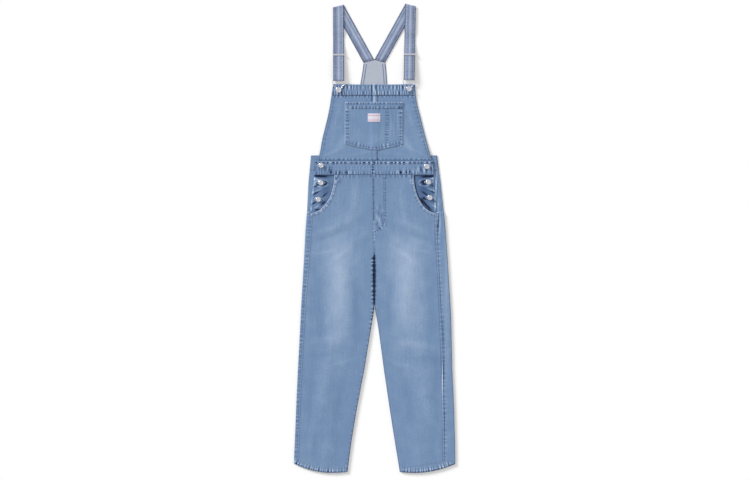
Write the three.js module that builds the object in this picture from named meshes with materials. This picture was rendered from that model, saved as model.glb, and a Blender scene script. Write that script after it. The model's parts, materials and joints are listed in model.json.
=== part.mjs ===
// Denim dungarees laid flat, face up, in millimetres.
// X runs across the garment, Y from the hems to the tops of the straps, Z up from the surface it lies on.
import * as THREE from 'three';

// Cloth thicknesses and the gap kept between pieces
const CLOTH = 1.0;
const BAND = 2.0;
const STRAP_CLOTH = 1.6;
const LABEL_CLOTH = 0.6;
const GAP = 0.3;

// Heights at which the front layer's underside lies
const FRONT_LEVEL = 3.4;
const HIP_RISE = 0.5;
const LEG_DOME = 0.4;
const BIB_LEVEL = 1.4;
const STAND_FOLD = 2.3;

// Heights along the garment
const CROTCH_Y = 650;
const OPENING_Y = 784;
const SEAM_END_Y = 776;
const WAIST_LOW_Y = 891.6;
const WAIST_HIGH_Y = 936;
const BACK_WAIST_LOW_Y = 906;
const BACK_WAIST_HIGH_Y = 951;
const BIB_HEM_Y = 1131;
const BIB_TOP_Y = 1165;
const YOKE_PEAK_Y = 1238;
const YOKE_SLOPE = 0.26;

// Ranges over which the front layer's height changes, across (from the middle) and along the garment
const HIP_ACROSS = { from: 70, to: 102 };
const HIP_ALONG = { from: 712, to: 752, end: 990 };
const DOME_END = { from: 640, to: 760 };
const FLY_FADE = { left: -9, right: 14, from: 700, to: 735, end: 880 };
const BIB_FALL_END = 1020;
const EDGE_INSET = 3;

// Widths of the sewn-on strips
const CENTRE_STRIP = { left: -6.5, right: 7.5, rise: CLOTH + GAP, fade: 9 };
const FLY = { width: 33, low: 724, turn: 46, rise: 0.5 };
const STAND_WIDTH = 42;
const TUCK_LENGTH = 2;
const POCKET_HEM = 16.5;
const POCKET_HEM_RISE = 0.7;
const FACING_UNDERLAP = 12;
const FACING_FOOT = 6;

// Outer fold, outseam and inner edge of each leg, a row for each height
const LEFT_LEG = [
  { y: 0, outer: -241.8, seam: -237.2, inner: -81.4 },
  { y: 97.5, outer: -238.5, seam: -234.0, inner: -69 },
  { y: 205.5, outer: -234.6, seam: -230.2, inner: -51 },
  { y: 313.5, outer: -229.5, seam: -225.2, inner: -30 },
  { y: 421.5, outer: -223.5, seam: -218.8, inner: -12.6 },
  { y: 490.5, outer: -220.5, seam: -214.5, inner: -0.9 },
  { y: 637.5, outer: -211.5, seam: -202.5, inner: -0.9 },
  { y: 727.5, outer: -207, seam: -196.5, inner: 0 },
  { y: 790.5, outer: -201.9, seam: -193.5, inner: 0 },
  { y: 877.5, outer: -197.7, seam: -182.6, inner: 0 },
  { y: 943.5, outer: -190.5, seam: -176, inner: 0 },
];
const RIGHT_LEG = [
  { y: 0, outer: 241.8, seam: 212.3, inner: 75.8 },
  { y: 97.5, outer: 240.6, seam: 211.2, inner: 60 },
  { y: 205.5, outer: 237.9, seam: 209.3, inner: 43.5 },
  { y: 313.5, outer: 232.5, seam: 206.9, inner: 27.6 },
  { y: 421.5, outer: 230.4, seam: 203.5, inner: 13.5 },
  { y: 490.5, outer: 228.0, seam: 200.7, inner: 2.1 },
  { y: 508.5, outer: 227.0, seam: 199.9, inner: -0.4 },
  { y: 637.5, outer: 219, seam: 193.0, inner: -0.4 },
  { y: 727.5, outer: 213, seam: 188.5, inner: 0 },
  { y: 790.5, outer: 206.8, seam: 186.2, inner: 0 },
  { y: 877.5, outer: 197.2, seam: 178.2, inner: 0 },
  { y: 943.5, outer: 187.6, seam: 176.2, inner: 0 },
];
// Centre-front seam from the crotch to the waist
const CENTRE_SEAM = [
  { y: 650, x: 1.2 },
  { y: 700, x: -1.2 },
  { y: 760, x: -3.4 },
  { y: 936, x: -4.8 },
];
// Side edges of the front bib
const BIB_SIDES = [
  { y: 936, left: -170, right: 171 },
  { y: 961.5, left: -162.9, right: 164.4 },
  { y: 997.5, left: -157.5, right: 154.5 },
  { y: 1033.5, left: -148.5, right: 145.5 },
  { y: 1069.5, left: -139.5, right: 136.5 },
  { y: 1105.5, left: -132.6, right: 126.9 },
  { y: 1141.5, left: -127.5, right: 122.4 },
  { y: 1167, left: -123.6, right: 121.5 },
];
// Side edges of the back bib, which narrows from the waist to the strap ends
const YOKE_SIDES = [
  { y: 951, left: -168, right: 166 },
  { y: 975, left: -128, right: 124 },
  { y: 1000, left: -101, right: 96 },
  { y: 1035, left: -76, right: 71 },
  { y: 1080, left: -57, right: 52 },
  { y: 1130, left: -47, right: 42 },
  { y: 1170, left: -43.8, right: 37.8 },
  { y: 1205, left: -37.2, right: 36 },
  { y: 1238, left: -33, right: 32.5 },
];
// Curved hip-pocket mouths, each a quarter of an ellipse
const LEFT_MOUTH = { side: -1, x: -196.5, y: 890, across: 76, down: 113 };
const RIGHT_MOUTH = { side: 1, x: 188, y: 890, across: 70, down: 112 };
// Hem curve of each leg: lowest point, and the rise at the outer and inner edges
const LEFT_HEM = { lowX: -128, outerX: -241.8, innerX: -81.4, outerRise: 28, innerRise: 3 };
const RIGHT_HEM = { lowX: 120, outerX: 241.8, innerX: 75.8, outerRise: 27, innerRise: 3 };
const HEM_REACH = 150;
// Largest soft folds of the front: middle, turn from X in degrees, half length, half width and height
const FOLDS = [
  { x: -120, y: 735, turn: 24, length: 62, width: 13, height: 0.9 },
  { x: -70, y: 690, turn: 34, length: 52, width: 12, height: 0.8 },
  { x: 118, y: 738, turn: -22, length: 60, width: 13, height: 0.9 },
  { x: 72, y: 692, turn: -33, length: 50, width: 12, height: 0.8 },
  { x: -100, y: 560, turn: 96, length: 110, width: 26, height: 0.7 },
  { x: 96, y: 548, turn: 84, length: 105, width: 25, height: 0.7 },
  { x: -122, y: 400, turn: 12, length: 66, width: 18, height: 0.6 },
  { x: 128, y: 385, turn: -10, length: 64, width: 18, height: 0.6 },
  { x: -150, y: 250, turn: 82, length: 120, width: 24, height: 0.7 },
  { x: 150, y: 232, turn: 98, length: 118, width: 24, height: 0.7 },
  { x: -140, y: 90, turn: 80, length: 72, width: 20, height: 0.6 },
  { x: 128, y: 96, turn: 99, length: 74, width: 20, height: 0.6 },
];
// Bib pocket and the woven label on it
const POCKET = { left: -88.5, right: 85.5, corner: 984, tip: 966, tipX: 0.5, top: 1110.6 };
const LABEL = { left: -20, right: 17.8, low: 1051.2, high: 1076.4 };
const POCKET_X = [-88.5, -78, -54, -31, -15.5, -7, 0.5, 8, 16.5, 30, 50, 75, 85.5];
const POCKET_FOOT_BOW = 1.25;
const HEM_RIPPLE = { waves: 22, height: 0.45, still: 96, edge: 0.3 };
const HEM_DIP = 1.6;

// Straps, a row for each side
const STRAPS = [
  { name: 'left', side: -1, x: -108.2, topY: 1399.4, sliderY: 1252.5, buttonX: -107.7, buttonY: 1146.9 },
  { name: 'right', side: 1, x: 107.7, topY: 1402.2, sliderY: 1254, buttonX: 103.5, buttonY: 1150.2 },
];
const STRAP_WIDTH = 31.5;
const STRAP_TURN = THREE.MathUtils.degToRad(14.5);
const FOLD_RADIUS = (STRAP_CLOTH + GAP) / 2;
const BAR_RADIUS = 2.5;
const WIRE = 2.0;
const BUCKLE = { reach: 30.5, half: 18.6, shoulder: 16.5, ring: 6.4, eye: 4.2 };
const SLIDER = { wall: 1.0, post: 2.0, side: 0.5, depth: 5 };
const BUTTON = { cap: 8.5, neck: 3.4, thick: 2.4, seat: 1.0 };
const SIDE_BUTTON_CAP = 8.0;
// Side-opening buttons, on the waistband or on a hip-pocket facing
const SIDE_BUTTONS = [
  { name: 'button_left_top', x: -159.9, y: 921, on: 'waistband' },
  { name: 'button_left_middle', x: -160.5, y: 869, on: 'facing' },
  { name: 'button_left_low', x: -168.5, y: 819.3, on: 'facing' },
  { name: 'button_right_top', x: 156.9, y: 917.4, on: 'waistband' },
  { name: 'button_right_middle', x: 161.5, y: 871, on: 'facing' },
  { name: 'button_right_low', x: 166, y: 824.4, on: 'facing' },
];
const SEGMENTS_ROUND = 18;

const group = new THREE.Group();
const denim = { color: '#86a3c4', roughness: 0.9, metalness: 0 };
const inside = { color: '#aab7c8', roughness: 0.92, metalness: 0 };
const webbing = { color: '#959fb9', roughness: 0.9, metalness: 0 };
const nickel = { color: '#d9cfca', roughness: 0.3, metalness: 0.9 };
const woven = { color: '#ece9e6', roughness: 0.85, metalness: 0 };

// Adds one named piece with its own material
function add(name, geometry, finish) {
  const mesh = new THREE.Mesh(geometry, new THREE.MeshStandardMaterial(finish));
  mesh.name = name;
  group.add(mesh);
  return mesh;
}

// Value of a table's column at a height, straight between rows
function at(table, column, y) {
  let k = 0;
  while (k < table.length - 2 && y > table[k + 1].y) {
    k += 1;
  }
  const low = table[k];
  const high = table[k + 1];
  const share = THREE.MathUtils.clamp((y - low.y) / (high.y - low.y), 0, 1);
  return THREE.MathUtils.lerp(low[column], high[column], share);
}

function ramp(value, from, to) {
  return THREE.MathUtils.smoothstep(value, Math.min(from, to), Math.max(from, to));
}

// Evenly spaced shares from 0 to 1
function shares(count) {
  return Array.from({ length: count + 1 }, (_, k) => k / count);
}

// A closed wall of cloth from a grid of point pairs: rows run along it, and each pair has an outer and an inner point
function wall(rows) {
  const columns = rows[0].length;
  const points = [];
  for (const row of rows) {
    for (const pair of row) {
      points.push(pair.outer, pair.inner);
    }
  }
  const outer = (j, i) => (j * columns + i) * 2;
  const inner = (j, i) => outer(j, i) + 1;
  const faces = [];
  const quad = (a, b, c, d) => faces.push(a, b, c, a, c, d);
  for (let j = 0; j < rows.length - 1; j += 1) {
    for (let i = 0; i < columns - 1; i += 1) {
      quad(outer(j, i), outer(j, i + 1), outer(j + 1, i + 1), outer(j + 1, i));
      quad(inner(j, i), inner(j + 1, i), inner(j + 1, i + 1), inner(j, i + 1));
    }
    quad(outer(j, 0), outer(j + 1, 0), inner(j + 1, 0), inner(j, 0));
    quad(outer(j, columns - 1), inner(j, columns - 1), inner(j + 1, columns - 1), outer(j + 1, columns - 1));
  }
  const last = rows.length - 1;
  for (let i = 0; i < columns - 1; i += 1) {
    quad(outer(0, i), inner(0, i), inner(0, i + 1), outer(0, i + 1));
    quad(outer(last, i), outer(last, i + 1), inner(last, i + 1), inner(last, i));
  }
  const geometry = new THREE.BufferGeometry().setFromPoints(points);
  geometry.setIndex(signedVolume(points, faces) < 0 ? faces.reverse() : faces);
  return geometry;
}

function signedVolume(points, faces) {
  let volume = 0;
  for (let k = 0; k < faces.length; k += 3) {
    const [a, b, c] = [points[faces[k]], points[faces[k + 1]], points[faces[k + 2]]];
    volume += a.dot(b.clone().cross(c)) / 6;
  }
  return volume;
}

// A level panel: place gives its plan point for the shares across and along it, and low its underside
function panel({ across, along, place, low, thick = CLOTH, lift = () => 0 }) {
  return wall(shares(along).map((v) => shares(across).map((u) => {
    const { x, y } = place(u, v);
    const base = low(x, y);
    return {
      outer: new THREE.Vector3(x, y, base + thick + lift(x, u)),
      inner: new THREE.Vector3(x, y, base),
    };
  })));
}

// Underside of the front layer: higher over the pocket facings, domed on the legs, low on the bib
function frontLevel(x, y) {
  const hip = ramp(Math.abs(x), HIP_ACROSS.from, HIP_ACROSS.to) * ramp(y, HIP_ALONG.from, HIP_ALONG.to)
    * (1 - ramp(y, WAIST_HIGH_Y, HIP_ALONG.end));
  const leg = x < 0 ? LEFT_LEG : RIGHT_LEG;
  const middle = (at(leg, 'outer', y) + at(leg, 'inner', y)) / 2;
  const half = Math.abs(at(leg, 'outer', y) - middle);
  const across = THREE.MathUtils.clamp((x - middle) / half, -1, 1);
  const dome = LEG_DOME * (1 - across * across) * (1 - ramp(y, DOME_END.from, DOME_END.to));
  const flyAcross = (1 - ramp(x, FLY.width, FLY.width + FLY_FADE.right)) * ramp(x, FLY_FADE.left, 0);
  const flyAlong = ramp(y, FLY_FADE.from, FLY_FADE.to) * (1 - ramp(y, FLY_FADE.end, WAIST_LOW_Y));
  const fly = FLY.rise * flyAcross * flyAlong;
  const bib = (FRONT_LEVEL - BIB_LEVEL) * ramp(y, WAIST_HIGH_Y, BIB_FALL_END);
  return FRONT_LEVEL + HIP_RISE * hip + dome + fly - bib + foldHeight(x, y);
}

// Height that the soft folds add at a point of the front
function foldHeight(x, y) {
  let height = 0;
  for (const fold of FOLDS) {
    const turn = THREE.MathUtils.degToRad(fold.turn);
    const [dx, dy] = [x - fold.x, y - fold.y];
    const along = (dx * Math.cos(turn) + dy * Math.sin(turn)) / fold.length;
    const aside = (dy * Math.cos(turn) - dx * Math.sin(turn)) / fold.width;
    height += fold.height * Math.exp(-along * along - aside * aside);
  }
  return height;
}

function centreX(y) {
  return at(CENTRE_SEAM, 'x', y);
}

// Inner edge of a leg: the fold at the inseam, then the centre seam above the crotch
function innerX(leg, side, y) {
  const seam = centreX(Math.max(y, CROTCH_Y)) + side * GAP / 2;
  return THREE.MathUtils.lerp(at(leg, 'inner', Math.min(y, CROTCH_Y)), seam, ramp(y, CROTCH_Y - CROTCH_REACH, CROTCH_Y + CROTCH_REACH));
}

// Edge of a pocket mouth, grown outwards by the underlap where the facing runs beneath the front
function mouthX(mouth, y, grow) {
  const drop = THREE.MathUtils.clamp((mouth.y - y) / (mouth.down + grow), 0, 1);
  return mouth.x - mouth.side * (mouth.across + grow) * Math.sqrt(1 - drop * drop);
}

// Outer edge of the front leg: the outseam, then the pocket mouth
function frontEdgeX(leg, mouth, y) {
  const seam = at(leg, 'seam', y);
  if (y <= mouth.y - mouth.down) {
    return seam;
  }
  const cut = mouthX(mouth, y, 0);
  return mouth.side < 0 ? Math.max(seam, cut) : Math.min(seam, cut);
}

// Rise of the curved hem at a point, fading up the leg
function hemRise(hem, x, y) {
  const toOuter = hem.outerX < hem.lowX === x < hem.lowX;
  const reach = (toOuter ? hem.outerX : hem.innerX) - hem.lowX;
  const rise = toOuter ? hem.outerRise : hem.innerRise;
  return rise * ((x - hem.lowX) / reach) ** 2 * (1 - ramp(y, 0, HEM_REACH));
}

// Heights of the leg sections, closer together where the pocket mouth and the side opening begin
const LEG_HEIGHTS = [0, 12, 40, 80, 130, 190, 250, 310, 370, 430, 490, 545, 600, 638, 646, 654, 662, 690, 720, 745];
const FRONT_HEIGHTS = [...LEG_HEIGHTS, 765, 777, 778.2, 781, 786, 794, 806, 824, 846, 869, WAIST_LOW_Y - GAP];
const BACK_HEIGHTS = [
  ...LEG_HEIGHTS, 765, SEAM_END_Y, OPENING_Y, OPENING_Y + TUCK_LENGTH, 812, 840, 872, WAIST_LOW_Y, BACK_WAIST_LOW_Y - GAP,
];
const FRONT_COLUMNS = 9;
const FLOOR_COLUMNS = 6;
const CURL_STEPS = 3;
const CURL_REACH = 12;
const CROTCH_REACH = 8;
const ROLL_STEPS = 5;

// How far the inner edge is curled into a fold: whole below the crotch, flat above it
function curl(y) {
  return 1 - ramp(y, CROTCH_Y - CURL_REACH, CROTCH_Y + CURL_REACH);
}

// Point pair on a quarter turn from the inseam to a flat layer, turned by a share of a right angle
function curledPair(x, y, side, share, height, up) {
  const radius = height / 2;
  const bend = curl(y);
  const angle = share * Math.PI / 2;
  const flatX = x + side * radius * share;
  const flatZ = up > 0 ? height : 0;
  const point = (r) => {
    const roundX = x + side * (radius - r * Math.cos(angle));
    const roundZ = radius + up * (r * Math.sin(angle) + GAP / 2 * (1 - share));
    const flatLayer = up > 0 ? flatZ - (radius - r) : flatZ + (radius - r);
    return new THREE.Vector3(
      THREE.MathUtils.lerp(flatX, roundX, bend), y, THREE.MathUtils.lerp(flatLayer, roundZ, bend));
  };
  return { outer: point(radius), inner: point(radius - CLOTH) };
}

// One section of a front leg, from its outer edge to the inseam
function frontSection(leg, mouth, y) {
  const { side } = mouth;
  const edge = frontEdgeX(leg, mouth, y) - side * GAP / 2;
  const inner = innerX(leg, side, y);
  const height = frontLevel(inner + side * EDGE_INSET, y) + CLOTH;
  const foot = inner + side * height / 2;
  const flat = shares(FRONT_COLUMNS).map((u) => {
    const x = THREE.MathUtils.lerp(edge, foot, u);
    const z = u < 1 ? frontLevel(x, y) : height - CLOTH;
    return { outer: new THREE.Vector3(x, y, z + CLOTH), inner: new THREE.Vector3(x, y, z) };
  });
  const curled = shares(CURL_STEPS).slice(0, -1).reverse();
  return [...flat, ...curled.map((share) => curledPair(inner, y, side, share, height, 1))];
}

// One section of a back leg: from the inseam over the floor, round the outer fold and on to its edge on the front
function backSection(leg, mouth, y) {
  const { side } = mouth;
  const inner = innerX(leg, side, y);
  const innerHeight = frontLevel(inner + side * EDGE_INSET, y) + CLOTH;
  const outer = at(leg, 'outer', y);
  const opened = ramp(y, SEAM_END_Y, OPENING_Y);
  const seam = at(leg, 'seam', y);
  const seamHeight = frontLevel(seam, y) + CLOTH;
  const height = THREE.MathUtils.lerp(seamHeight, STAND_FOLD, opened);
  const radius = height / 2;
  const turnX = outer - side * radius;
  const curled = shares(CURL_STEPS).slice(0, -1).map((share) => curledPair(inner, y, side, share, innerHeight, -1));
  const floor = shares(FLOOR_COLUMNS).slice(0, -1).map((u) => {
    const x = THREE.MathUtils.lerp(inner + side * innerHeight / 2, turnX, u);
    return { outer: new THREE.Vector3(x, y, 0), inner: new THREE.Vector3(x, y, CLOTH) };
  });
  const rolled = shares(ROLL_STEPS).map((share) => {
    const angle = share * Math.PI;
    const point = (r) => new THREE.Vector3(turnX + side * r * Math.sin(angle), y, radius - r * Math.cos(angle));
    return { outer: point(radius), inner: point(radius - CLOTH) };
  });
  const tuck = ramp(y, OPENING_Y, OPENING_Y + TUCK_LENGTH);
  const end = THREE.MathUtils.lerp(seam + side * GAP / 2, outer - side * STAND_WIDTH, tuck);
  const strip = [0.5, 1].map((share) => {
    const x = THREE.MathUtils.lerp(turnX, end, share);
    return { outer: new THREE.Vector3(x, y, height), inner: new THREE.Vector3(x, y, height - CLOTH) };
  });
  return [...curled, ...floor, ...rolled, ...strip];
}

// Lifts every point of a leg to its curved hem
function hemmed(section, hem) {
  for (const pair of section) {
    for (const point of [pair.outer, pair.inner]) {
      point.y += hemRise(hem, point.x, point.y);
    }
  }
  return section;
}

function buildLeg(name, leg, mouth, hem) {
  const front = FRONT_HEIGHTS.map((y) => hemmed(frontSection(leg, mouth, y), hem));
  const back = BACK_HEIGHTS.map((y) => hemmed(backSection(leg, mouth, y), hem));
  add(`front_leg_${name}`, wall(front), denim);
  add(`back_leg_${name}`, wall(back), denim);
}

buildLeg('left', LEFT_LEG, LEFT_MOUTH, LEFT_HEM);
buildLeg('right', RIGHT_LEG, RIGHT_MOUTH, RIGHT_HEM);

// Hip-pocket facing: from the side edge to a little way beneath the front leg
function buildFacing(name, leg, mouth) {
  const low = mouth.y - mouth.down - FACING_UNDERLAP + GAP;
  const place = (u, v) => {
    const y = THREE.MathUtils.lerp(low, WAIST_LOW_Y - GAP, v ** 1.5);
    const edge = at(leg, 'seam', y) - mouth.side * 2 * GAP;
    const reach = mouth.side * (edge - mouthX(mouth, y, FACING_UNDERLAP - GAP));
    return { x: edge - mouth.side * u * Math.max(reach, FACING_FOOT), y };
  };
  add(`hip_facing_${name}`, panel({ across: 4, along: 10, place, low: () => facingTop() - CLOTH }), denim);
}

function facingTop() {
  return FRONT_LEVEL + HIP_RISE - GAP;
}

buildFacing('left', LEFT_LEG, LEFT_MOUTH);
buildFacing('right', RIGHT_LEG, RIGHT_MOUTH);

// Fly piece beneath the right front, round at its lower outer corner
function buildFly() {
  const place = (u, v) => {
    const left = centreX(FLY.low) + 2 * GAP;
    const x = THREE.MathUtils.lerp(left, FLY.width, u);
    const bow = FLY.turn * (1 - Math.sqrt(1 - u * u));
    const y = THREE.MathUtils.lerp(FLY.low + bow, WAIST_LOW_Y - 2 * GAP, v);
    return { x, y };
  };
  const low = () => FRONT_LEVEL - CLOTH - GAP;
  add('fly', panel({ across: 6, along: 3, place, low }), denim);
}

buildFly();

// Waistband halves, doubled cloth that meets at the centre seam
function buildWaistband(name, leg, side) {
  const place = (u, v) => {
    const y = THREE.MathUtils.lerp(WAIST_LOW_Y, WAIST_HIGH_Y, v);
    return { x: THREE.MathUtils.lerp(at(leg, 'seam', y), centreX(y) + side * GAP / 2, u), y };
  };
  add(`waistband_${name}`, panel({ across: 10, along: 3, place, low: frontLevel, thick: BAND }), denim);
}

buildWaistband('left', LEFT_LEG, -1);
buildWaistband('right', RIGHT_LEG, 1);

function buildBackWaistband() {
  const place = (u, v) => {
    const y = THREE.MathUtils.lerp(BACK_WAIST_LOW_Y, BACK_WAIST_HIGH_Y, v);
    return { x: THREE.MathUtils.lerp(at(LEFT_LEG, 'outer', y), at(RIGHT_LEG, 'outer', y), u), y };
  };
  add('back_waistband', panel({ across: 8, along: 2, place, low: () => 0, thick: BAND }), denim);
}

buildBackWaistband();

// Bib halves, which meet beneath the centre strip
function buildBib(name, side) {
  const low = WAIST_HIGH_Y + GAP;
  const place = (u, v) => {
    const y = THREE.MathUtils.lerp(low, BIB_HEM_Y - GAP, v);
    return { x: THREE.MathUtils.lerp(at(BIB_SIDES, name, y), side * GAP / 2, u), y };
  };
  add(`bib_${name}`, panel({ across: 6, along: 12, place, low: frontLevel }), denim);
}

buildBib('left', -1);
buildBib('right', 1);

// Rise over the centre strip for what lies across it
function stripRise(x) {
  const { left, right, rise, fade } = CENTRE_STRIP;
  return rise * ramp(x, left - fade, left - GAP) * (1 - ramp(x, right + GAP, right + fade));
}

// Folded band along the top of the bib, puckered in upright ripples that fade under the buckles
function buildBibHem() {
  const { waves, height, still, edge } = HEM_RIPPLE;
  const place = (u, v) => {
    const y = THREE.MathUtils.lerp(BIB_HEM_Y, BIB_TOP_Y, v);
    const dip = HEM_DIP * Math.sin(u * Math.PI) * v;
    return { x: THREE.MathUtils.lerp(at(BIB_SIDES, 'left', y), at(BIB_SIDES, 'right', y), u), y: y - dip };
  };
  const lift = (x, u) => height * (0.5 - 0.5 * Math.cos(u * waves * 2 * Math.PI)) * (Math.abs(x) < still ? 1 : edge);
  add('bib_hem', panel({ across: 4 * waves, along: 2, place, low: frontLevel, thick: BAND, lift }), denim);
}

buildBibHem();

function buildCentreStrip() {
  const place = (u, v) => ({
    x: THREE.MathUtils.lerp(CENTRE_STRIP.left, CENTRE_STRIP.right, u),
    y: THREE.MathUtils.lerp(WAIST_HIGH_Y + GAP, BIB_HEM_Y - GAP, v),
  });
  add('bib_centre_strip', panel({ across: 2, along: 12, place, low: (x, y) => frontLevel(x, y) + CLOTH + GAP }), denim);
}

buildCentreStrip();

function pocketLevel(x, y) {
  return frontLevel(x, y) + CLOTH + GAP + stripRise(x);
}

// Bib pocket with a pointed foot and a doubled hem across its top
function buildPocket() {
  const { left, right, corner, tip, tipX, top } = POCKET;
  const hemFrom = (top - POCKET_HEM - corner) / (top - corner);
  const up = [0, 0.12, 0.3, 0.5, 0.7, hemFrom - 0.01, hemFrom, 1];
  const rows = up.map((v) => POCKET_X.map((x) => {
    const fromTip = Math.abs(x - tipX) / (x < tipX ? tipX - left : right - tipX);
    const foot = THREE.MathUtils.lerp(tip, corner, fromTip ** POCKET_FOOT_BOW);
    const y = THREE.MathUtils.lerp(foot, top, v);
    const base = pocketLevel(x, y);
    const hem = v >= hemFrom ? POCKET_HEM_RISE : 0;
    return { outer: new THREE.Vector3(x, y, base + CLOTH + hem), inner: new THREE.Vector3(x, y, base) };
  }));
  add('bib_pocket', wall(rows), denim);
}

buildPocket();

// Woven label, laid on the pocket's own points
function buildLabel() {
  const across = [LABEL.left, ...POCKET_X.filter((x) => x > LABEL.left && x < LABEL.right), LABEL.right];
  const rows = [LABEL.low, LABEL.high].map((y) => across.map((x) => {
    const base = pocketLevel(x, y) + CLOTH + GAP;
    return { outer: new THREE.Vector3(x, y, base + LABEL_CLOTH), inner: new THREE.Vector3(x, y, base) };
  }));
  add('pocket_label', wall(rows), woven);
}

buildLabel();

// Top edge of the back bib at a point across it
function yokeTop(x) {
  return YOKE_PEAK_Y - YOKE_SLOPE * Math.abs(x);
}

function buildBackBib() {
  const place = (u, v) => {
    const low = BACK_WAIST_HIGH_Y + GAP;
    const level = THREE.MathUtils.lerp(low, YOKE_PEAK_Y, v ** 1.2);
    const x = THREE.MathUtils.lerp(at(YOKE_SIDES, 'left', level), at(YOKE_SIDES, 'right', level), u);
    const share = (level - low) / (YOKE_PEAK_Y - low);
    return { x, y: THREE.MathUtils.lerp(low, yokeTop(x), share) };
  };
  add('back_bib', panel({ across: 6, along: 14, place, low: () => 0 }), inside);
}

buildBackBib();

// Upper layer of the strap below its top fold: distance down, height of the cloth's middle, and slant of the row
const FRONT_RUN = [
  { down: 14, z: 2.7, slant: 1 },
  { down: 74, z: 2.7, slant: 0.4 },
  { down: 96, z: 1.1, slant: 0 },
  { down: 114, z: 1.3, slant: 0 },
];
const STRAP_LOW = STRAP_CLOTH / 2;
const SLIDER_LOW = SLIDER.wall + GAP + STRAP_LOW;
const SLIDER_HIGH = SLIDER_LOW + 2 * FOLD_RADIUS;
const BAR_Z = BIB_LEVEL + BAND + HEM_RIPPLE.height + GAP + WIRE / 2;

// Plan places of one strap, worked out for the left side and mirrored for the right
class StrapPlan {
  constructor({ side, x, topY, sliderY, buttonX, buttonY }) {
    this.mirror = -side;
    this.sliderY = sliderY;
    this.barY = buttonY + BUCKLE.reach;
    this.fold = new THREE.Vector2(x * this.mirror, topY - FOLD_RADIUS - STRAP_LOW);
    this.drift = (buttonX - x) * this.mirror;
    this.columns = [-STRAP_WIDTH / 2, 0, STRAP_WIDTH / 2];
  }

  // Middle of the front run at a height
  middleX(y) {
    const share = THREE.MathUtils.clamp((this.fold.y - y) / (this.fold.y - this.barY), 0, 1);
    return this.fold.x + this.drift * share;
  }

  // Point pair from a plan point, a height and the outward direction
  pair(x, y, z, outX, outY, outZ) {
    const middle = new THREE.Vector3(x * this.mirror, y, z);
    const out = new THREE.Vector3(outX * this.mirror, outY, outZ);
    return {
      outer: middle.clone().addScaledVector(out, STRAP_LOW),
      inner: middle.clone().addScaledVector(out, -STRAP_LOW),
    };
  }

  // Row straight across the front run, facing up or down
  level(y, z, up, slant = 0) {
    return this.columns.map((a) => {
      const rowY = y + slant * a * Math.tan(STRAP_TURN);
      return this.pair(this.middleX(rowY) + a, rowY, z, 0, 0, up);
    });
  }

  // Back run, from its end against the back bib to the top fold
  backRun() {
    const run = new THREE.Vector2(-Math.sin(2 * STRAP_TURN), Math.cos(2 * STRAP_TURN));
    const aside = new THREE.Vector2(Math.cos(2 * STRAP_TURN), Math.sin(2 * STRAP_TURN));
    return shares(3).map((share) => this.columns.map((a) => {
      const start = this.fold.clone().addScaledVector(aside, a);
      const rise = YOKE_PEAK_Y + GAP + YOKE_SLOPE * start.x - start.y;
      const reach = rise / (run.y - YOKE_SLOPE * run.x);
      const point = start.addScaledVector(run, THREE.MathUtils.lerp(reach, -a * Math.tan(STRAP_TURN), share));
      return this.pair(point.x, point.y, STRAP_LOW, 0, 0, -1);
    }));
  }

  // Half turn round the slanted top fold
  topFold() {
    return [-60, -30, 0, 30, 60].map((degrees) => this.columns.map((a) => {
      const angle = THREE.MathUtils.degToRad(degrees);
      const out = new THREE.Vector2(-Math.sin(STRAP_TURN), Math.cos(STRAP_TURN)).multiplyScalar(Math.cos(angle));
      const x = this.fold.x + a + FOLD_RADIUS * out.x;
      const y = this.fold.y + a * Math.tan(STRAP_TURN) + FOLD_RADIUS * out.y;
      return this.pair(x, y, STRAP_LOW + FOLD_RADIUS * (1 + Math.sin(angle)), out.x, out.y, Math.sin(angle));
    }));
  }

  // Half turn round the buckle's bar
  barLoop() {
    return [90, 60, 30, 0, -30, -60, -90].map((degrees) => this.columns.map((a) => {
      const [up, away] = [Math.sin(THREE.MathUtils.degToRad(degrees)), Math.cos(THREE.MathUtils.degToRad(degrees))];
      const x = this.middleX(this.barY) + a;
      return this.pair(x, this.barY - BAR_RADIUS * away, BAR_Z + BAR_RADIUS * up, 0, -away, up);
    }));
  }

  // All rows: back run, top fold, front run, loop round the bar, and the return to just past the slider
  rows() {
    const { sliderY, barY, fold } = this;
    const halfway = (sliderY + barY) / 2;
    return [
      ...this.backRun(),
      ...this.topFold(),
      this.level(fold.y, STRAP_LOW + 2 * FOLD_RADIUS, 1, 1),
      ...FRONT_RUN.map(({ down, z, slant }) => this.level(fold.y - down, z, 1, slant)),
      this.level(sliderY + SLIDER.depth, SLIDER_HIGH, 1),
      this.level(sliderY - SLIDER.depth, SLIDER_HIGH, 1),
      this.level(halfway, (SLIDER_HIGH + BAR_Z + BAR_RADIUS) / 2, 1),
      ...this.barLoop(),
      this.level(halfway, (SLIDER_LOW + BAR_Z - BAR_RADIUS) / 2, -1),
      this.level(sliderY - SLIDER.depth, SLIDER_LOW, -1),
      this.level(sliderY + SLIDER.depth, SLIDER_LOW, -1),
    ];
  }
}

// Flat rectangular ring round both layers of the strap
function sliderGeometry() {
  const { wall: thick, post, side, depth } = SLIDER;
  const halfIn = STRAP_WIDTH / 2 + side;
  const roof = SLIDER_HIGH + STRAP_LOW + GAP;
  const shape = rectangle(-halfIn - post, 0, halfIn + post, roof + thick);
  shape.holes.push(rectangle(-halfIn, thick, halfIn, roof));
  const geometry = new THREE.ExtrudeGeometry(shape, { depth, bevelEnabled: false });
  geometry.rotateX(Math.PI / 2);
  geometry.translate(0, depth / 2, 0);
  return geometry;
}

function rectangle(left, low, right, high) {
  const shape = new THREE.Shape();
  shape.moveTo(left, low);
  shape.lineTo(right, low);
  shape.lineTo(right, high);
  shape.lineTo(left, high);
  shape.closePath();
  return shape;
}

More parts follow.
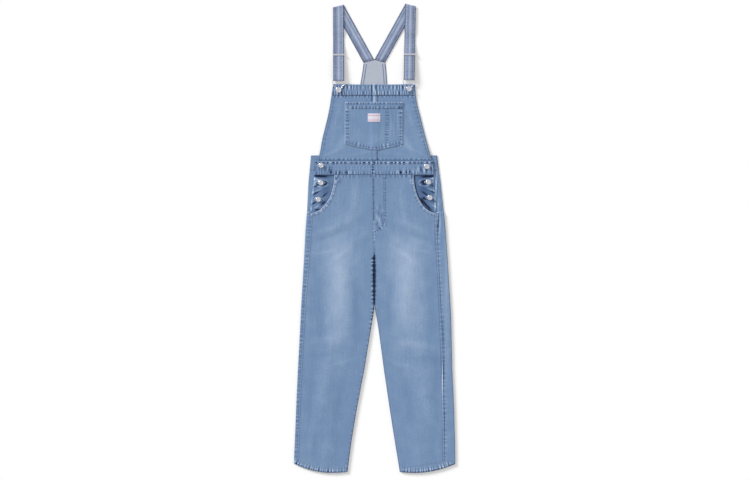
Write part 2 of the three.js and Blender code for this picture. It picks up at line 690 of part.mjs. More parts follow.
// Stamped wire buckle: a bar for the strap, two arms, and an eye with a neck that hooks round the button
function buckleGeometry() {
  const { reach, half, shoulder, ring, eye } = BUCKLE;
  const top = reach + WIRE / 2;
  const lean = THREE.MathUtils.degToRad(20);
  const mouth = THREE.MathUtils.degToRad(38);
  const shape = new THREE.Shape();
  shape.moveTo(-half, top);
  shape.lineTo(-half, shoulder);
  shape.absarc(0, 0, ring, Math.PI - lean, lean, false);
  shape.lineTo(half, shoulder);
  shape.lineTo(half, top);
  shape.closePath();
  const hole = new THREE.Path();
  const inner = half - WIRE;
  hole.moveTo(-inner, top - WIRE);
  hole.lineTo(-inner, shoulder + WIRE / 2);
  hole.absarc(0, 0, eye, Math.PI - mouth, mouth, false);
  hole.lineTo(inner, shoulder + WIRE / 2);
  hole.lineTo(inner, top - WIRE);
  hole.closePath();
  shape.holes.push(hole);
  const geometry = new THREE.ExtrudeGeometry(shape, { depth: WIRE, bevelEnabled: false, curveSegments: 14 });
  geometry.translate(0, 0, -WIRE / 2);
  return geometry;
}

// Shank button: a neck, and a cap with a rounded rim and a dished face
function buttonGeometry(cap, neck) {
  const { neck: neckRadius, thick } = BUTTON;
  const profile = [
    [0, 0], [neckRadius, 0], [neckRadius, neck], [cap - 0.6, neck], [cap, neck + thick * 0.35],
    [cap - 0.5, neck + thick * 0.9], [cap - 1.6, neck + thick], [cap - 3, neck + thick * 0.75],
    [0, neck + thick * 0.7],
  ].map(([r, z]) => new THREE.Vector2(r, z));
  const geometry = new THREE.LatheGeometry(profile, SEGMENTS_ROUND);
  geometry.rotateX(Math.PI / 2);
  return geometry;
}

for (const strap of STRAPS) {
  const plan = new StrapPlan(strap);
  add(`strap_${strap.name}`, wall(plan.rows()), webbing);
  add(`slider_${strap.name}`, sliderGeometry(), nickel).position
    .set(plan.middleX(strap.sliderY) * plan.mirror, strap.sliderY, 0);
  add(`buckle_${strap.name}`, buckleGeometry(), nickel).position.set(strap.buttonX, strap.buttonY, BAR_Z);
  const seat = BIB_LEVEL + BAND + HEM_RIPPLE.height + GAP;
  add(`bib_button_${strap.name}`, buttonGeometry(BUTTON.cap, WIRE + 2 * GAP), nickel).position
    .set(strap.buttonX, strap.buttonY, seat);
}

for (const { name, x, y, on } of SIDE_BUTTONS) {
  const cloth = on === 'waistband' ? frontLevel(x, y) + BAND : facingTop();
  add(name, buttonGeometry(SIDE_BUTTON_CAP, BUTTON.seat), nickel).position.set(x, y, cloth + GAP);
}

// The origin is the middle of the garment's footprint, on the surface it lies on
const box = new THREE.Box3().setFromObject(group);
const middle = box.getCenter(new THREE.Vector3());
group.position.set(-middle.x, -middle.y, -box.min.z);
group.updateMatrixWorld(true);

export default group;
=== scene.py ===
"""Washed denim dungarees laid flat, face up: cloth shells, stitching, metal fittings and finishes."""

import json
import logging
import math
from dataclasses import dataclass, field
from enum import Enum
from typing import Callable, Iterable, Sequence

import bmesh
import bpy
import numpy as np
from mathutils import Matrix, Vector
from mathutils.bvhtree import BVHTree

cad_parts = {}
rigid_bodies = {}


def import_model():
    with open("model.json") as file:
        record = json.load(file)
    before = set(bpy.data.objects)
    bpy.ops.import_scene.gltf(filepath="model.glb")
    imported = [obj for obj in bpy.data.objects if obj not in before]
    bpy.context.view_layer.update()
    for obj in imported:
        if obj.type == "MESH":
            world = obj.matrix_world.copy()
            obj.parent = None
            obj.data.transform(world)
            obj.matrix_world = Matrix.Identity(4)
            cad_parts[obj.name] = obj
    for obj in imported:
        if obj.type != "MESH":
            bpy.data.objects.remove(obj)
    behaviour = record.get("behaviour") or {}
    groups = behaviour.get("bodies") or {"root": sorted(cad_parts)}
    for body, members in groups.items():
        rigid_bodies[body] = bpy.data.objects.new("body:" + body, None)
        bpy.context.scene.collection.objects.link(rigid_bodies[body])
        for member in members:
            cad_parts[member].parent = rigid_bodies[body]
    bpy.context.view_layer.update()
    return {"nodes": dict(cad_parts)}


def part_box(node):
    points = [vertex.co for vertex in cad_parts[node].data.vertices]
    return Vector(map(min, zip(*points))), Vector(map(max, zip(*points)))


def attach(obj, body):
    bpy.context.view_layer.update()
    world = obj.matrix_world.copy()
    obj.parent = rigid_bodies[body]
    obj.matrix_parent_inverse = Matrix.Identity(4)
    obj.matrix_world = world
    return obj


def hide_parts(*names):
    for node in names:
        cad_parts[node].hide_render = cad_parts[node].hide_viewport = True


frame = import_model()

log = logging.getLogger("dungarees")

MM = 0.001
CLOTH = 1.0 * MM
BAND = 2.0 * MM
GAP = 0.3 * MM
MERGE = 0.005 * MM
# Plan y of the lowest point of the hems
HEM_LINE = min(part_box(f"front_leg_{word}")[0].y for word in ("left", "right"))
HIGH = 0.1
STEP = 0.8 * MM
SHARP_ANGLE = math.radians(40)
EDGE_ROUND = 0.45 * MM


def up(y_mm: float) -> float:
    """Frame height of a distance in millimetres above the hems."""
    return HEM_LINE + y_mm * MM


def ramp(value: np.ndarray, low: float, high: float) -> np.ndarray:
    """Smooth step from 0 at low to 1 at high."""
    share = np.clip((value - low) / (high - low), 0.0, 1.0)
    return share * share * (3.0 - 2.0 * share)


def drift(value: np.ndarray, seed: float) -> np.ndarray:
    """A slow wander between about -1 and 1, from three sines that never line up.

    Args:
        value: distance along a seam or across a panel, in wavelengths of about one.
        seed: a number that sets where each sine starts.

    Returns:
        The wander at each distance.
    """
    waves = (1.0, 0.37, 2.3)
    weights = (0.5, 0.35, 0.25)
    return sum(w * np.sin(2 * math.pi * k * value + seed * (3.1 + 7.7 * k)) for k, w in zip(waves, weights))


class NodePlan:
    """Outline and top heights of one CAD node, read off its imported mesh."""

    def __init__(self, node: str) -> None:
        """Reads the node's edges and builds its ray tree.

        Args:
            node: name of the CAD node.
        """
        mesh = bmesh.new()
        mesh.from_mesh(frame["nodes"][node].data)
        bmesh.ops.remove_doubles(mesh, verts=mesh.verts, dist=MERGE)
        self.tree = BVHTree.FromBMesh(mesh)
        ends = np.array([[tuple(v.co) for v in edge.verts] for edge in mesh.edges])
        order = np.argsort(ends[:, :, 1], axis=1)
        self.low = np.take_along_axis(ends, order[:, :1, None], axis=1)[:, 0]
        self.high = np.take_along_axis(ends, order[:, 1:, None], axis=1)[:, 0]
        self.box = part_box(node)
        mesh.free()

    def sides(self, y: float) -> tuple[float, float]:
        """Lowest and highest x of the node at a height, which is kept within the node."""
        y = min(max(y, self.box[0].y + 0.05 * MM), self.box[1].y - 0.05 * MM)
        cut = (self.low[:, 1] <= y) & (self.high[:, 1] >= y) & (self.high[:, 1] - self.low[:, 1] > 1e-9)
        low, high = self.low[cut], self.high[cut]
        share = (y - low[:, 1]) / (high[:, 1] - low[:, 1])
        x = low[:, 0] + share * (high[:, 0] - low[:, 0])
        return float(x.min()), float(x.max())

    def top(self, x: float, y: float, default: float) -> float:
        """Height of the node's upper face at a plan point, or the default beside it."""
        hit = self.tree.ray_cast(Vector((x, y, HIGH)), Vector((0, 0, -1)))[0]
        return hit.z if hit else default


@dataclass(frozen=True)
class Crease:
    """One soft ridge or trough on the cloth, sizes in millimetres."""

    x: float
    y: float
    turn: float
    length: float
    width: float
    height: float
    bow: float = 0.0

    def lift(self, x: np.ndarray, y: np.ndarray) -> np.ndarray:
        """Height that the crease adds at plan points, in metres."""
        turn = math.radians(self.turn)
        dx, dy = x / MM - self.x, (y - HEM_LINE) / MM - self.y
        along = (dx * math.cos(turn) + dy * math.sin(turn)) / self.length
        aside = (dy * math.cos(turn) - dx * math.sin(turn) - self.bow * along * along) / self.width
        return self.height * MM * np.exp(-along * along - aside * aside)


@dataclass(frozen=True)
class Seam:
    """A sewn line that draws the cloth into short puckers, sizes in millimetres; its tone paints light along it
    where positive and shade where negative.
    """

    points: tuple[tuple[float, float], ...]
    reach: float
    pitch: float
    height: float
    mark: float
    seed: float
    sink: float = 0.0
    # Painted light along the line where positive, painted shade where negative
    tone: float = 0.0

    def nearest(self, x: np.ndarray, y: np.ndarray) -> tuple[np.ndarray, np.ndarray]:
        """Distance from the line and distance along it, for each plan point, in millimetres."""
        px, py = x / MM, (y - HEM_LINE) / MM
        best = np.full(px.shape, 1e6)
        run = np.zeros(px.shape)
        start = 0.0
        for (ax, ay), (bx, by) in zip(self.points, self.points[1:]):
            length = math.hypot(bx - ax, by - ay)
            ux, uy = (bx - ax) / length, (by - ay) / length
            along = np.clip((px - ax) * ux + (py - ay) * uy, 0, length)
            away = np.hypot(px - ax - ux * along, py - ay - uy * along)
            closer = away < best
            best = np.where(closer, away, best)
            run = np.where(closer, start + along, run)
            start += length
        return best, run

    def pull(self, x: np.ndarray, y: np.ndarray) -> tuple[np.ndarray, np.ndarray]:
        """Height that the puckers add, in metres, and their light and dark share from -1 to 1, with the line's
        painted tone added.

        Args:
            x: plan x of each point, in metres.
            y: plan y of each point, in metres.

        Returns:
            The added height, and the share by which the crests are worn pale and the troughs stay dark, plus the
            line's tone: painted light where positive, painted shade where negative.
        """
        away, run = self.nearest(x, y)
        fade = np.exp(-(away / self.reach) ** 2)
        beat = run / self.pitch + 0.35 * drift(run / (self.pitch * 4.3), self.seed)
        strength = 0.62 + 0.38 * drift(run / (self.pitch * 7.1), self.seed + 1.7)
        wave = np.sin(2 * math.pi * beat) * strength * fade
        lift = (self.height * wave - self.sink * fade) * MM
        return lift, self.mark * (wave - 0.2 * fade) + self.tone * fade


# The largest soft folds and whiskers, in millimetres from the middle and from the hems
CREASES = (
    Crease(-120, 735, 24, 62, 9, 0.4, 6), Crease(-70, 690, 34, 52, 9, 0.3, -5),
    Crease(118, 738, -22, 60, 9, 0.38, -6), Crease(72, 692, -33, 50, 9, 0.3, 5),
    Crease(-138, 706, 16, 44, 6, -0.25, 4), Crease(134, 708, -15, 46, 6, -0.25, -4),
    Crease(-96, 655, 38, 36, 6, 0.45), Crease(92, 650, -36, 38, 6, 0.45),
    Crease(-150, 660, 10, 36, 6, 0.4), Crease(152, 662, -12, 34, 6, 0.4),
    Crease(-60, 812, 80, 60, 11, 0.45, 5), Crease(84, 806, 96, 56, 11, 0.4, -6),
    Crease(-100, 560, 96, 110, 22, 0.5, 8), Crease(96, 548, 84, 105, 22, 0.5, -8),
    Crease(-160, 470, 92, 120, 15, -0.4, -5), Crease(168, 455, 88, 130, 15, -0.4, 6),
    Crease(-52, 505, 94, 80, 11, -0.4, 4), Crease(44, 500, 87, 85, 11, -0.4, -4),
    Crease(-122, 400, 12, 66, 12, 0.45, 7), Crease(128, 385, -10, 64, 12, 0.45, -7),
    Crease(-150, 352, 8, 44, 8, -0.35, 3), Crease(158, 342, -6, 46, 8, -0.35, -4),
    Crease(-92, 330, 18, 40, 8, 0.35), Crease(84, 322, -16, 42, 8, 0.35),
    Crease(-150, 250, 82, 120, 20, 0.5, 8), Crease(150, 232, 98, 118, 20, 0.5, -8),
    Crease(-190, 210, 86, 100, 11, -0.4), Crease(186, 300, 91, 120, 11, -0.4),
    Crease(-110, 190, 78, 90, 10, -0.35), Crease(112, 176, 102, 92, 10, -0.35),
    Crease(-140, 90, 80, 72, 16, 0.45), Crease(128, 96, 99, 74, 16, 0.45),
    Crease(-178, 64, 84, 60, 8, -0.35), Crease(176, 70, 95, 62, 8, -0.35),
    Crease(-90, 996, 64, 40, 9, 0.5, 5), Crease(96, 990, 118, 42, 9, 0.5, -5),
    Crease(-112, 1068, 76, 50, 8, 0.35), Crease(110, 1058, 104, 52, 8, 0.35),
    Crease(-40, 956, 8, 46, 5, 0.35), Crease(52, 955, -6, 50, 5, 0.35),
    Crease(-128, 958, 24, 30, 5, 0.5), Crease(132, 960, -26, 30, 5, 0.5),
)


@dataclass(frozen=True)
class Fade:
    """One oval paler or darker than the cloth, sizes in millimetres: a wash fade in some places, painted light
    and shade in others.
    """

    x: float
    y: float
    across: float
    along: float
    amount: float
    turn: float = 0.0

    def tint(self, x: np.ndarray, y: np.ndarray) -> np.ndarray:
        """Share by which the mark pales the cloth at plan points."""
        turn = math.radians(self.turn)
        dx, dy = x / MM - self.x, (y - HEM_LINE) / MM - self.y
        side = (dx * math.cos(turn) + dy * math.sin(turn)) / self.across
        along = (dy * math.cos(turn) - dx * math.sin(turn)) / self.along
        return self.amount * np.exp(-side * side - along * along)


# Wash fades and other pale and dark marks, sizes in millimetres; the last three paint the shadow in the slit
# where the thighs meet
WASH_AND_SHADE_MARKS = (
    Fade(-112, 545, 44, 170, 0.13), Fade(94, 548, 48, 180, 0.12), Fade(-84, 640, 60, 60, 0.05),
    Fade(84, 640, 56, 60, 0.05),
    Fade(150, 440, 34, 150, 0.03), Fade(-150, 690, 44, 14, 0.03, 18), Fade(-90, 660, 40, 10, 0.03, 30),
    Fade(138, 690, 44, 14, 0.03, -18), Fade(84, 664, 38, 10, 0.03, -30), Fade(-203, 640, 7, 200, 0.05),
    Fade(216, 560, 7, 260, 0.08), Fade(-60, 420, 16, 150, -0.03), Fade(-140, 130, 90, 150, -0.02),
    Fade(-70, 800, 50, 90, 0.02), Fade(0, 1000, 160, 40, 0.02),
    Fade(-190, 80, 14, 130, 0.03), Fade(0, 958, 170, 12, -0.03),
    Fade(42, 1060, 2.4, 24, -0.14, 3), Fade(48, 1030, 2.4, 30, 0.07, -2), Fade(54, 1066, 2.2, 20, -0.1, 4),
    Fade(59, 1018, 2.4, 20, 0.06, 3), Fade(63, 1040, 2.2, 34, -0.12, -3), Fade(69, 1062, 2.4, 22, 0.08),
    Fade(203, 200, 2.0, 80, 0.1), Fade(183, 836, 1.7, 60, 0.5, -3.5), Fade(188.5, 856, 1.6, 36, -0.3, -3),
    Fade(193, 812, 1.6, 50, 0.26, -5), Fade(196.4, 846, 1.6, 44, -0.28, -4),
    Fade(190.4, 748, 1.7, 30, -0.6, -2),
    Fade(196.5, 752, 1.6, 34, 0.34, -3), Fade(199.5, 780, 1.5, 26, -0.3, -5),
    Fade(186.2, 768, 1.6, 26, 0.3, -3), Fade(14, 733, 2.6, 6, -0.3, 34), Fade(19, 742, 2.4, 7, 0.24, 20),
    Fade(8, 746, 2.4, 7, -0.28, -18), Fade(24, 754, 2.2, 8, -0.26, 12), Fade(14, 758, 2.4, 8, 0.22, -10),
    Fade(7, 766, 2.2, 8, 0.18, 8), Fade(21, 770, 2.2, 8, -0.24, -14), Fade(12, 778, 2.4, 8, -0.22, 16),
    Fade(25, 786, 2.0, 9, 0.16), Fade(16, 796, 2.2, 9, -0.16, -8), Fade(8, 792, 2.0, 8, 0.14, 6),
    Fade(203.6, 290, 1.8, 62, 0.5, -0.6), Fade(207.2, 300, 1.5, 78, -0.55, -0.6),
    Fade(200.4, 318, 1.4, 40, -0.3),
    Fade(205.4, 420, 1.6, 50, -0.35, 1.2), Fade(209.8, 150, 1.5, 70, -0.3, -0.6),
    Fade(197.5, 520, 1.5, 60, -0.3, 2.5),
    # Painted shadow in the slit where the thighs meet below the crotch
    Fade(-0.8, 612, 3.6, 34, -0.9), Fade(-0.8, 566, 3.4, 46, -0.9), Fade(-0.8, 520, 2.2, 22, -0.5),
)
BACK_WASH = (
    Fade(-98, 770, 60, 74, 0.09), Fade(96, 766, 58, 76, 0.09), Fade(-124, 470, 52, 160, 0.07),
    Fade(118, 480, 50, 150, 0.06),
    Fade(-110, 668, 56, 12, -0.04, 8), Fade(104, 672, 54, 12, -0.04, -8),
)
# Painted light and shade of small folds on the hip facings, a painted shadow just under the waistband, and
# painted shade beside the top buttons
PLACKET_FOLD_SHADING = (
    Fade(-168, 889, 26, 3.2, -0.75, -4), Fade(168, 889, 24, 3.2, -0.75, 5),
    Fade(-176, 880, 14, 2.2, 0.4, -12),
    Fade(174, 882, 14, 2.2, 0.4, 14), Fade(-146, 872, 8, 2.0, -0.6, -24), Fade(146, 874, 8, 2.0, -0.6, 20),
    Fade(-178, 858, 10, 2.2, -0.5, 18), Fade(180, 858, 9, 2.4, -0.5, -20), Fade(-168, 847, 14, 2.0, 0.35, 26),
    Fade(170, 848, 14, 2.2, 0.4, -24), Fade(-176, 838, 12, 2.4, -0.6, 30), Fade(178, 840, 12, 2.4, -0.5, -28),
    Fade(-150, 832, 10, 2.0, -0.4, 40), Fade(152, 836, 10, 2.0, -0.4, -36), Fade(-182, 808, 9, 2.6, -0.5, 26),
    Fade(184, 812, 8, 2.6, -0.5, -24), Fade(-174, 797, 10, 2.0, 0.35, 32), Fade(176, 800, 9, 2.0, 0.3, -30),
    Fade(-146, 850, 16, 30, -0.16), Fade(146, 852, 16, 30, -0.14),
    Fade(-147.5, 868, 4.2, 5.0, -0.7), Fade(-171.5, 867, 3.4, 5.5, -0.5), Fade(148.5, 869.5, 4.6, 5.2, -0.75),
    Fade(-154, 808, 11, 3.0, -0.45, 44), Fade(146, 812, 12, 3.0, -0.55, -46),
    Fade(-172, 788, 8, 3.4, -0.4, 10),
    Fade(160, 797, 12, 2.4, -0.6, -44), Fade(150, 822, 7, 3.0, -0.5, -10),
)

# Sewn lines that pucker the cloth, in millimetres from the middle and from the hems
LEFT_OUTSEAM = ((-236, 20), (-230, 205), (-225, 313), (-219, 421), (-213, 517), (-202.5, 637), (-196.5, 727),
        (-193.6, 786))
RIGHT_OUTSEAM = ((212.1, 14), (209.1, 217), (205.5, 367), (199.5, 517), (191.4, 667), (187.5, 751),
        (186.4, 786))
LEFT_INSEAM = ((-79, 4), (-66, 97), (-48, 205), (-27, 313), (-9.6, 421), (-3, 490), (-3, 640))
RIGHT_INSEAM = ((73, 4), (57, 97), (40.6, 205), (24.6, 313), (10.5, 421), (6.4, 490), (5.4, 640))
CENTRE_FRONT = ((1.2, 650), (-1.2, 700), (-3.4, 760), (-4.6, 890))


def arc(x: float, y: float, across: float, down: float, start: float,
        end: float) -> tuple[tuple[float, float], ...]:
    """Points of an elliptical arc, in millimetres, between two angles in degrees."""
    angles = np.radians(np.linspace(start, end, 13))
    return tuple((x + across * math.cos(a), y + down * math.sin(a)) for a in angles)


@dataclass(frozen=True)
class Mouth:
    """Curved edge of a hip pocket's mouth, a quarter of an ellipse, sizes in millimetres."""

    x: float
    y: float
    across: float
    down: float
    side: int

    def edge(self, y: np.ndarray) -> np.ndarray:
        """Plan x of the mouth at heights above the hems."""
        drop = np.clip((self.y - y) / self.down, 0, 1)
        return self.x - self.side * self.across * np.sqrt(1 - drop * drop)

    def line(self, inset: float = 0.0) -> tuple[tuple[float, float], ...]:
        """Points down the mouth, moved into the leg by the inset."""
        start, end = (-86, 0) if self.side < 0 else (-94, -180)
        return arc(self.x, self.y, self.across + inset, self.down + inset, start, end)


LEFT_MOUTH = Mouth(-196.5, 890, 76, 113, -1)
RIGHT_MOUTH = Mouth(188, 890, 70, 112, 1)
FLY_TOP_Y, FLY_TURN_Y, FLY_LOW_Y, FLY_X = 889, 770, 724, 31.5
FLY_CURVE = ((FLY_X, FLY_TOP_Y), *arc(-3, FLY_TURN_Y, FLY_X + 3, FLY_TURN_Y - FLY_LOW_Y, 0, -84))

LEFT_HEM_LINE = tuple((x, 4 + 28 * ((x + 128) / -113.8) ** 2) if x < -128 else (x, 4.0) for x in range(-238,
        -80, 12))
RIGHT_HEM_LINE = tuple((x, 4 + 27 * ((x - 120) / 121.8) ** 2) if x > 120 else (x, 4.0) for x in range(78, 241,
        12))
# On the hip facings: painted highlights along the placket edges, pale ovals round the top buttons, and painted
# shade just inside the pocket mouths, under the front's edge
PLACKET_LINES = (
    Seam(((-178.6, 888), (-182.6, 858), (-187.6, 815), (-191, 785)), 1.9, 23.0, 0.0, 0.22, 61.0, 0.0, 0.42),
    Seam(((175.2, 888), (177, 862), (180.6, 820), (184, 785)), 1.9, 21.0, 0.0, 0.2, 62.0, 0.0, 0.3),
    Seam(arc(-159, 867, 20, 10.5, 10, 350), 1.7, 26.0, 0.0, 0.16, 63.0, 0.0, 0.4),
    Seam(arc(151, 869, 19, 10, -170, 170), 1.7, 24.0, 0.0, 0.16, 64.0, 0.0, 0.36),
    Seam(LEFT_MOUTH.line(-1.2), 1.8, 30.0, 0.0, 0.12, 65.0, 0.0, -0.1),
    Seam(RIGHT_MOUTH.line(-1.2), 1.8, 28.0, 0.0, 0.12, 66.0, 0.0, -0.35),
)
LEG_SEAMS = (
    # Pale lines on the pocket mouths' folded edges, partly edge wear and partly painted highlight; fainter pale
    # lines between the rows of stitching
    Seam(LEFT_MOUTH.line(1.4), 2.0, 31.0, 0.0, 0.14, 67.0, 0.0, 0.75),
    Seam(RIGHT_MOUTH.line(1.4), 2.0, 29.0, 0.0, 0.14, 68.0, 0.0, 0.7),
    Seam(LEFT_MOUTH.line(7.4), 1.8, 19.0, 0.0, 0.2, 69.0, 0.0, 0.16),
    Seam(RIGHT_MOUTH.line(7.4), 1.8, 17.0, 0.0, 0.2, 70.0, 0.0, 0.14),
    Seam(LEFT_OUTSEAM, 5.0, 11.5, 0.2, 0.24, 1.0, 0.1),
    Seam(RIGHT_OUTSEAM, 5.5, 13.0, 0.24, 0.16, 2.0, 0.12, 0.06),
    Seam(LEFT_INSEAM, 6.0, 12.5, 0.3, 0.6, 3.0), Seam(RIGHT_INSEAM, 4.0, 11.0, 0.14, 0.06, 4.0),
    Seam(CENTRE_FRONT, 4.0, 11.0, 0.16, 0.12, 5.0, 0.12),
    Seam(((-2.0, 757), (-2.8, 888)), 1.5, 31.0, 0.0, 0.12, 71.0, 0.0, -0.3),
    Seam(((-0.4, 700), (-1.6, 752)), 1.6, 17.0, 0.0, 0.2, 72.0, 0.0, 0.28),
    Seam(FLY_CURVE, 4.0, 8.6, 0.2, 0.26, 6.0, 0.12),
    Seam(LEFT_MOUTH.line(3), 6.5, 13.0, 0.3, 0.3, 7.0, -0.3),
    Seam(RIGHT_MOUTH.line(3), 6.5, 12.0, 0.3, 0.28, 8.0, -0.3),
    Seam(((-176, 889), (176, 889)), 4.5, 12.0, 0.16, 0.24, 10.0),
    Seam(LEFT_HEM_LINE, 9.0, 7.6, 0.3, 0.66, 17.0, 0.0, 0.2),
    Seam(RIGHT_HEM_LINE, 9.0, 7.9, 0.26, 0.6, 18.0, 0.0, 0.2),
    Seam(((-130, 872), (-118, 884), (-104, 872)), 7.0, 9.0, 0.3, 0.4, 19.0),
    Seam(((112, 872), (124, 884), (136, 872)), 7.0, 9.0, 0.3, 0.4, 20.0),
)
BIB_SEAMS = (
    Seam(((-154, 962), (-148, 997), (-139, 1033), (-130.5, 1069), (-123, 1105), (-119, 1131)), 5.0, 13.0,
    0.12, 0.08, 11.0),
    Seam(((156, 962), (145, 997), (136, 1033), (127, 1069), (118, 1105), (114, 1131)), 5.0, 12.0, 0.16, 0.16,
    12.0),
    Seam(((-170, 938), (170, 938)), 4.0, 13.0, 0.16, 0.26, 13.0),
    Seam(((-124, 1129), (124, 1129)), 4.5, 10.0, 0.22, 0.3, 14.0),
    Seam(((-0.5, 940), (-0.5, 1131)), 9.0, 13.0, 0.12, 0.1, 15.0),
    # Painted shadow along the left edge of the centre strip, and a painted highlight on the strip
    Seam(((-8.2, 1108), (-8.2, 1131)), 2.0, 60.0, 0.0, 0.1, 35.0, 0.0, -0.42),
    Seam(((-1.0, 1108), (-1.0, 1131)), 3.2, 60.0, 0.0, 0.1, 36.0, 0.0, 0.3),
)


def folds(x: np.ndarray, y: np.ndarray) -> tuple[np.ndarray, np.ndarray]:
    """Height and tone that the creases, the wash fades and the painted shade marks give at plan points.

    Args:
        x: plan x of each point, in metres.
        y: plan y of each point, in metres.

    Returns:
        The added height in metres, and the wear with painted shade, where pale is positive.
    """
    lift = sum(crease.lift(x, y) for crease in CREASES)
    wear = sum(fade.tint(x, y) for fade in WASH_AND_SHADE_MARKS) + 0.05 * lift / (0.5 * MM)
    return lift, wear


@dataclass
class Cloth:
    """A grid of cloth points on a piece's outer face: rows along it, columns across it."""

    x: np.ndarray
    y: np.ndarray
    z: np.ndarray
    # Wash wear together with painted light and shade; pale is positive
    wear: np.ndarray

    @classmethod
    def on_plan(
        cls, x: np.ndarray, y: np.ndarray, z: np.ndarray, seams: Iterable[Seam] = (),
        share: np.ndarray | float = 1.0,
    ) -> "Cloth":
        """Cloth at plan points and base heights, with the folds and the seams' puckers added.

        Args:
            x: plan x of the grid's points, in metres.
            y: plan y of the grid's points, in metres.
            z: base heights of the outer face, in metres.
            seams: the sewn lines that pucker it.
            share: how much of the relief each point takes.

        Returns:
            The finished grid.
        """
        lift, wear = folds(x, y)
        for seam in seams:
            pucker, wave = seam.pull(x, y)
            lift = lift + pucker
            wear = wear + wave
        return cls(x, y, z + share * lift, wear)

    def flat(self) -> tuple[float, float, float]:
        """Widest row, longest column and area of the grid laid flat, in metres."""
        point = np.stack([self.x, self.y, self.z], axis=-1)
        across, along = np.diff(point, axis=1), np.diff(point, axis=0)
        width = np.linalg.norm(across, axis=-1).sum(axis=1).max()
        length = np.linalg.norm(along, axis=-1).sum(axis=0).max()
        area = np.linalg.norm(np.cross(across[:-1], along[:, :-1]), axis=-1).sum()
        return float(width), float(length), float(area)

    def shell(self, name: str, flip: bool = False, lift: np.ndarray | None = None) -> bpy.types.Object:
        """Makes the grid a mesh object with its attribute of wear and painted shading.

        Args:
            name: name of the piece.
            flip: true where the grid's columns run the other way round, so that its faces point outwards.
            lift: distance by which each point is moved out along its normal, where the sheet isn't level.

        Returns:
            The new object, an open shell on the outer face.
        """
        rows, columns = self.x.shape
        mesh = bmesh.new()
        bmesh.ops.create_grid(mesh, x_segments=columns - 1, y_segments=rows - 1, size=0.5)
        wear = mesh.verts.layers.float.new("wear")
        place = {}
        for vert in mesh.verts:
            i = round((vert.co.x + 0.5) * (columns - 1))
            j = round((vert.co.y + 0.5) * (rows - 1))
            vert.co = (self.x[j, i], self.y[j, i], self.z[j, i])
            vert[wear] = self.wear[j, i]
            place[vert] = (j, i)
        if flip:
            bmesh.ops.reverse_faces(mesh, faces=mesh.faces)
        if lift is not None:
            mesh.normal_update()
            shifts = [(vert, vert.normal * float(lift[spot])) for vert, spot in place.items()]
            for vert, shift in shifts:
                vert.co += shift
        return finished(name, mesh)


def finished(name: str, mesh: bmesh.types.BMesh) -> bpy.types.Object:
    """Turns a bmesh into a smooth-shaded object in the scene and frees it."""
    data = bpy.data.meshes.new(name)
    mesh.normal_update()
    mesh.to_mesh(data)
    mesh.free()
    data.shade_smooth()
    piece = bpy.data.objects.new(name, data)
    bpy.context.scene.collection.objects.link(piece)
    return piece


def thicken(piece: bpy.types.Object, thickness: float) -> None:
    """Gives an open shell its cloth thickness, inwards from its outer face."""
    wall = piece.modifiers.new("cloth", "SOLIDIFY")
    wall.thickness = thickness
    wall.offset = -1.0
    wall.use_rim = True


def steps(low: float, high: float, pitch: float) -> np.ndarray:
    """Even steps from low to high, no further apart than pitch."""
    return np.linspace(low, high, max(2, math.ceil((high - low) / pitch) + 1))


def sampled(plan: NodePlan, x: np.ndarray, y: np.ndarray, every: int) -> np.ndarray:
    """Top heights of a node at a grid's points, read every few rows and joined smoothly.

    Args:
        plan: the node.
        x: plan x of the grid.
        y: plan y of the grid.
        every: how many rows lie between those that are read.

    Returns:
        The heights, in metres.
    """
    rows, columns = x.shape
    read = sorted({*range(0, rows, every), rows - 1})
    level = float(plan.box[1].z)
    heights = np.full((len(read), columns), np.nan)
    for k, j in enumerate(read):
        for i in range(columns):
            heights[k, i] = plan.top(float(x[j, i]), float(y[j, i]), math.nan)
        known = ~np.isnan(heights[k])
        places = np.arange(columns)
        heights[k] = np.interp(places, places[known], heights[k][known]) if known.any() else level
    joined = np.array([np.interp(np.arange(rows), read, heights[:, i]) for i in range(columns)]).T
    return softened(softened(joined, 0, every), 1, 3)


def softened(values: np.ndarray, axis: int, reach: int) -> np.ndarray:
    """Values averaged with their neighbours along one axis of a grid."""
    kernel = np.hanning(2 * reach + 3)[1:-1]
    kernel /= kernel.sum()
    padded = np.pad(values, [(reach, reach) if k == axis else (0, 0) for k in (0, 1)], mode="edge")
    return np.apply_along_axis(lambda line: np.convolve(line, kernel, mode="valid"), axis, padded)


class Hand(Enum):
    """The two halves of the garment as they lie, by the sign of x."""

    LEFT = -1
    RIGHT = 1

    @property
    def word(self) -> str:
        """The half's word in the nodes' names."""
        return self.name.lower()

    def outer(self, sides: tuple[float, float]) -> float:
        """The side further from the middle."""
        return sides[0] if self is Hand.LEFT else sides[1]

    def inner(self, sides: tuple[float, float]) -> float:
        """The side nearer the middle."""
        return sides[1] if self is Hand.LEFT else sides[0]


@dataclass(frozen=True)
class Hem:
    """Curve of a leg's hem, sizes in millimetres."""

    low: float
    outer: float
    inner: float
    outer_rise: float
    inner_rise: float
    reach: float = 150.0

    def rise(self, x: np.ndarray, y: np.ndarray) -> np.ndarray:
        """Rise of cloth points above where they would lie on a straight leg, in metres."""
        away = x / MM - self.low
        outwards = away * (self.outer - self.low) > 0
        span = np.where(outwards, self.outer - self.low, self.inner - self.low)
        height = np.where(outwards, self.outer_rise, self.inner_rise)
        return height * MM * (away / span) ** 2 * (1 - ramp((y - HEM_LINE) / MM, 0, self.reach))


LEFT_HEM = Hem(-128, -241.8, -81.4, 28, 3)
RIGHT_HEM = Hem(120, 241.8, 75.8, 27, 3)


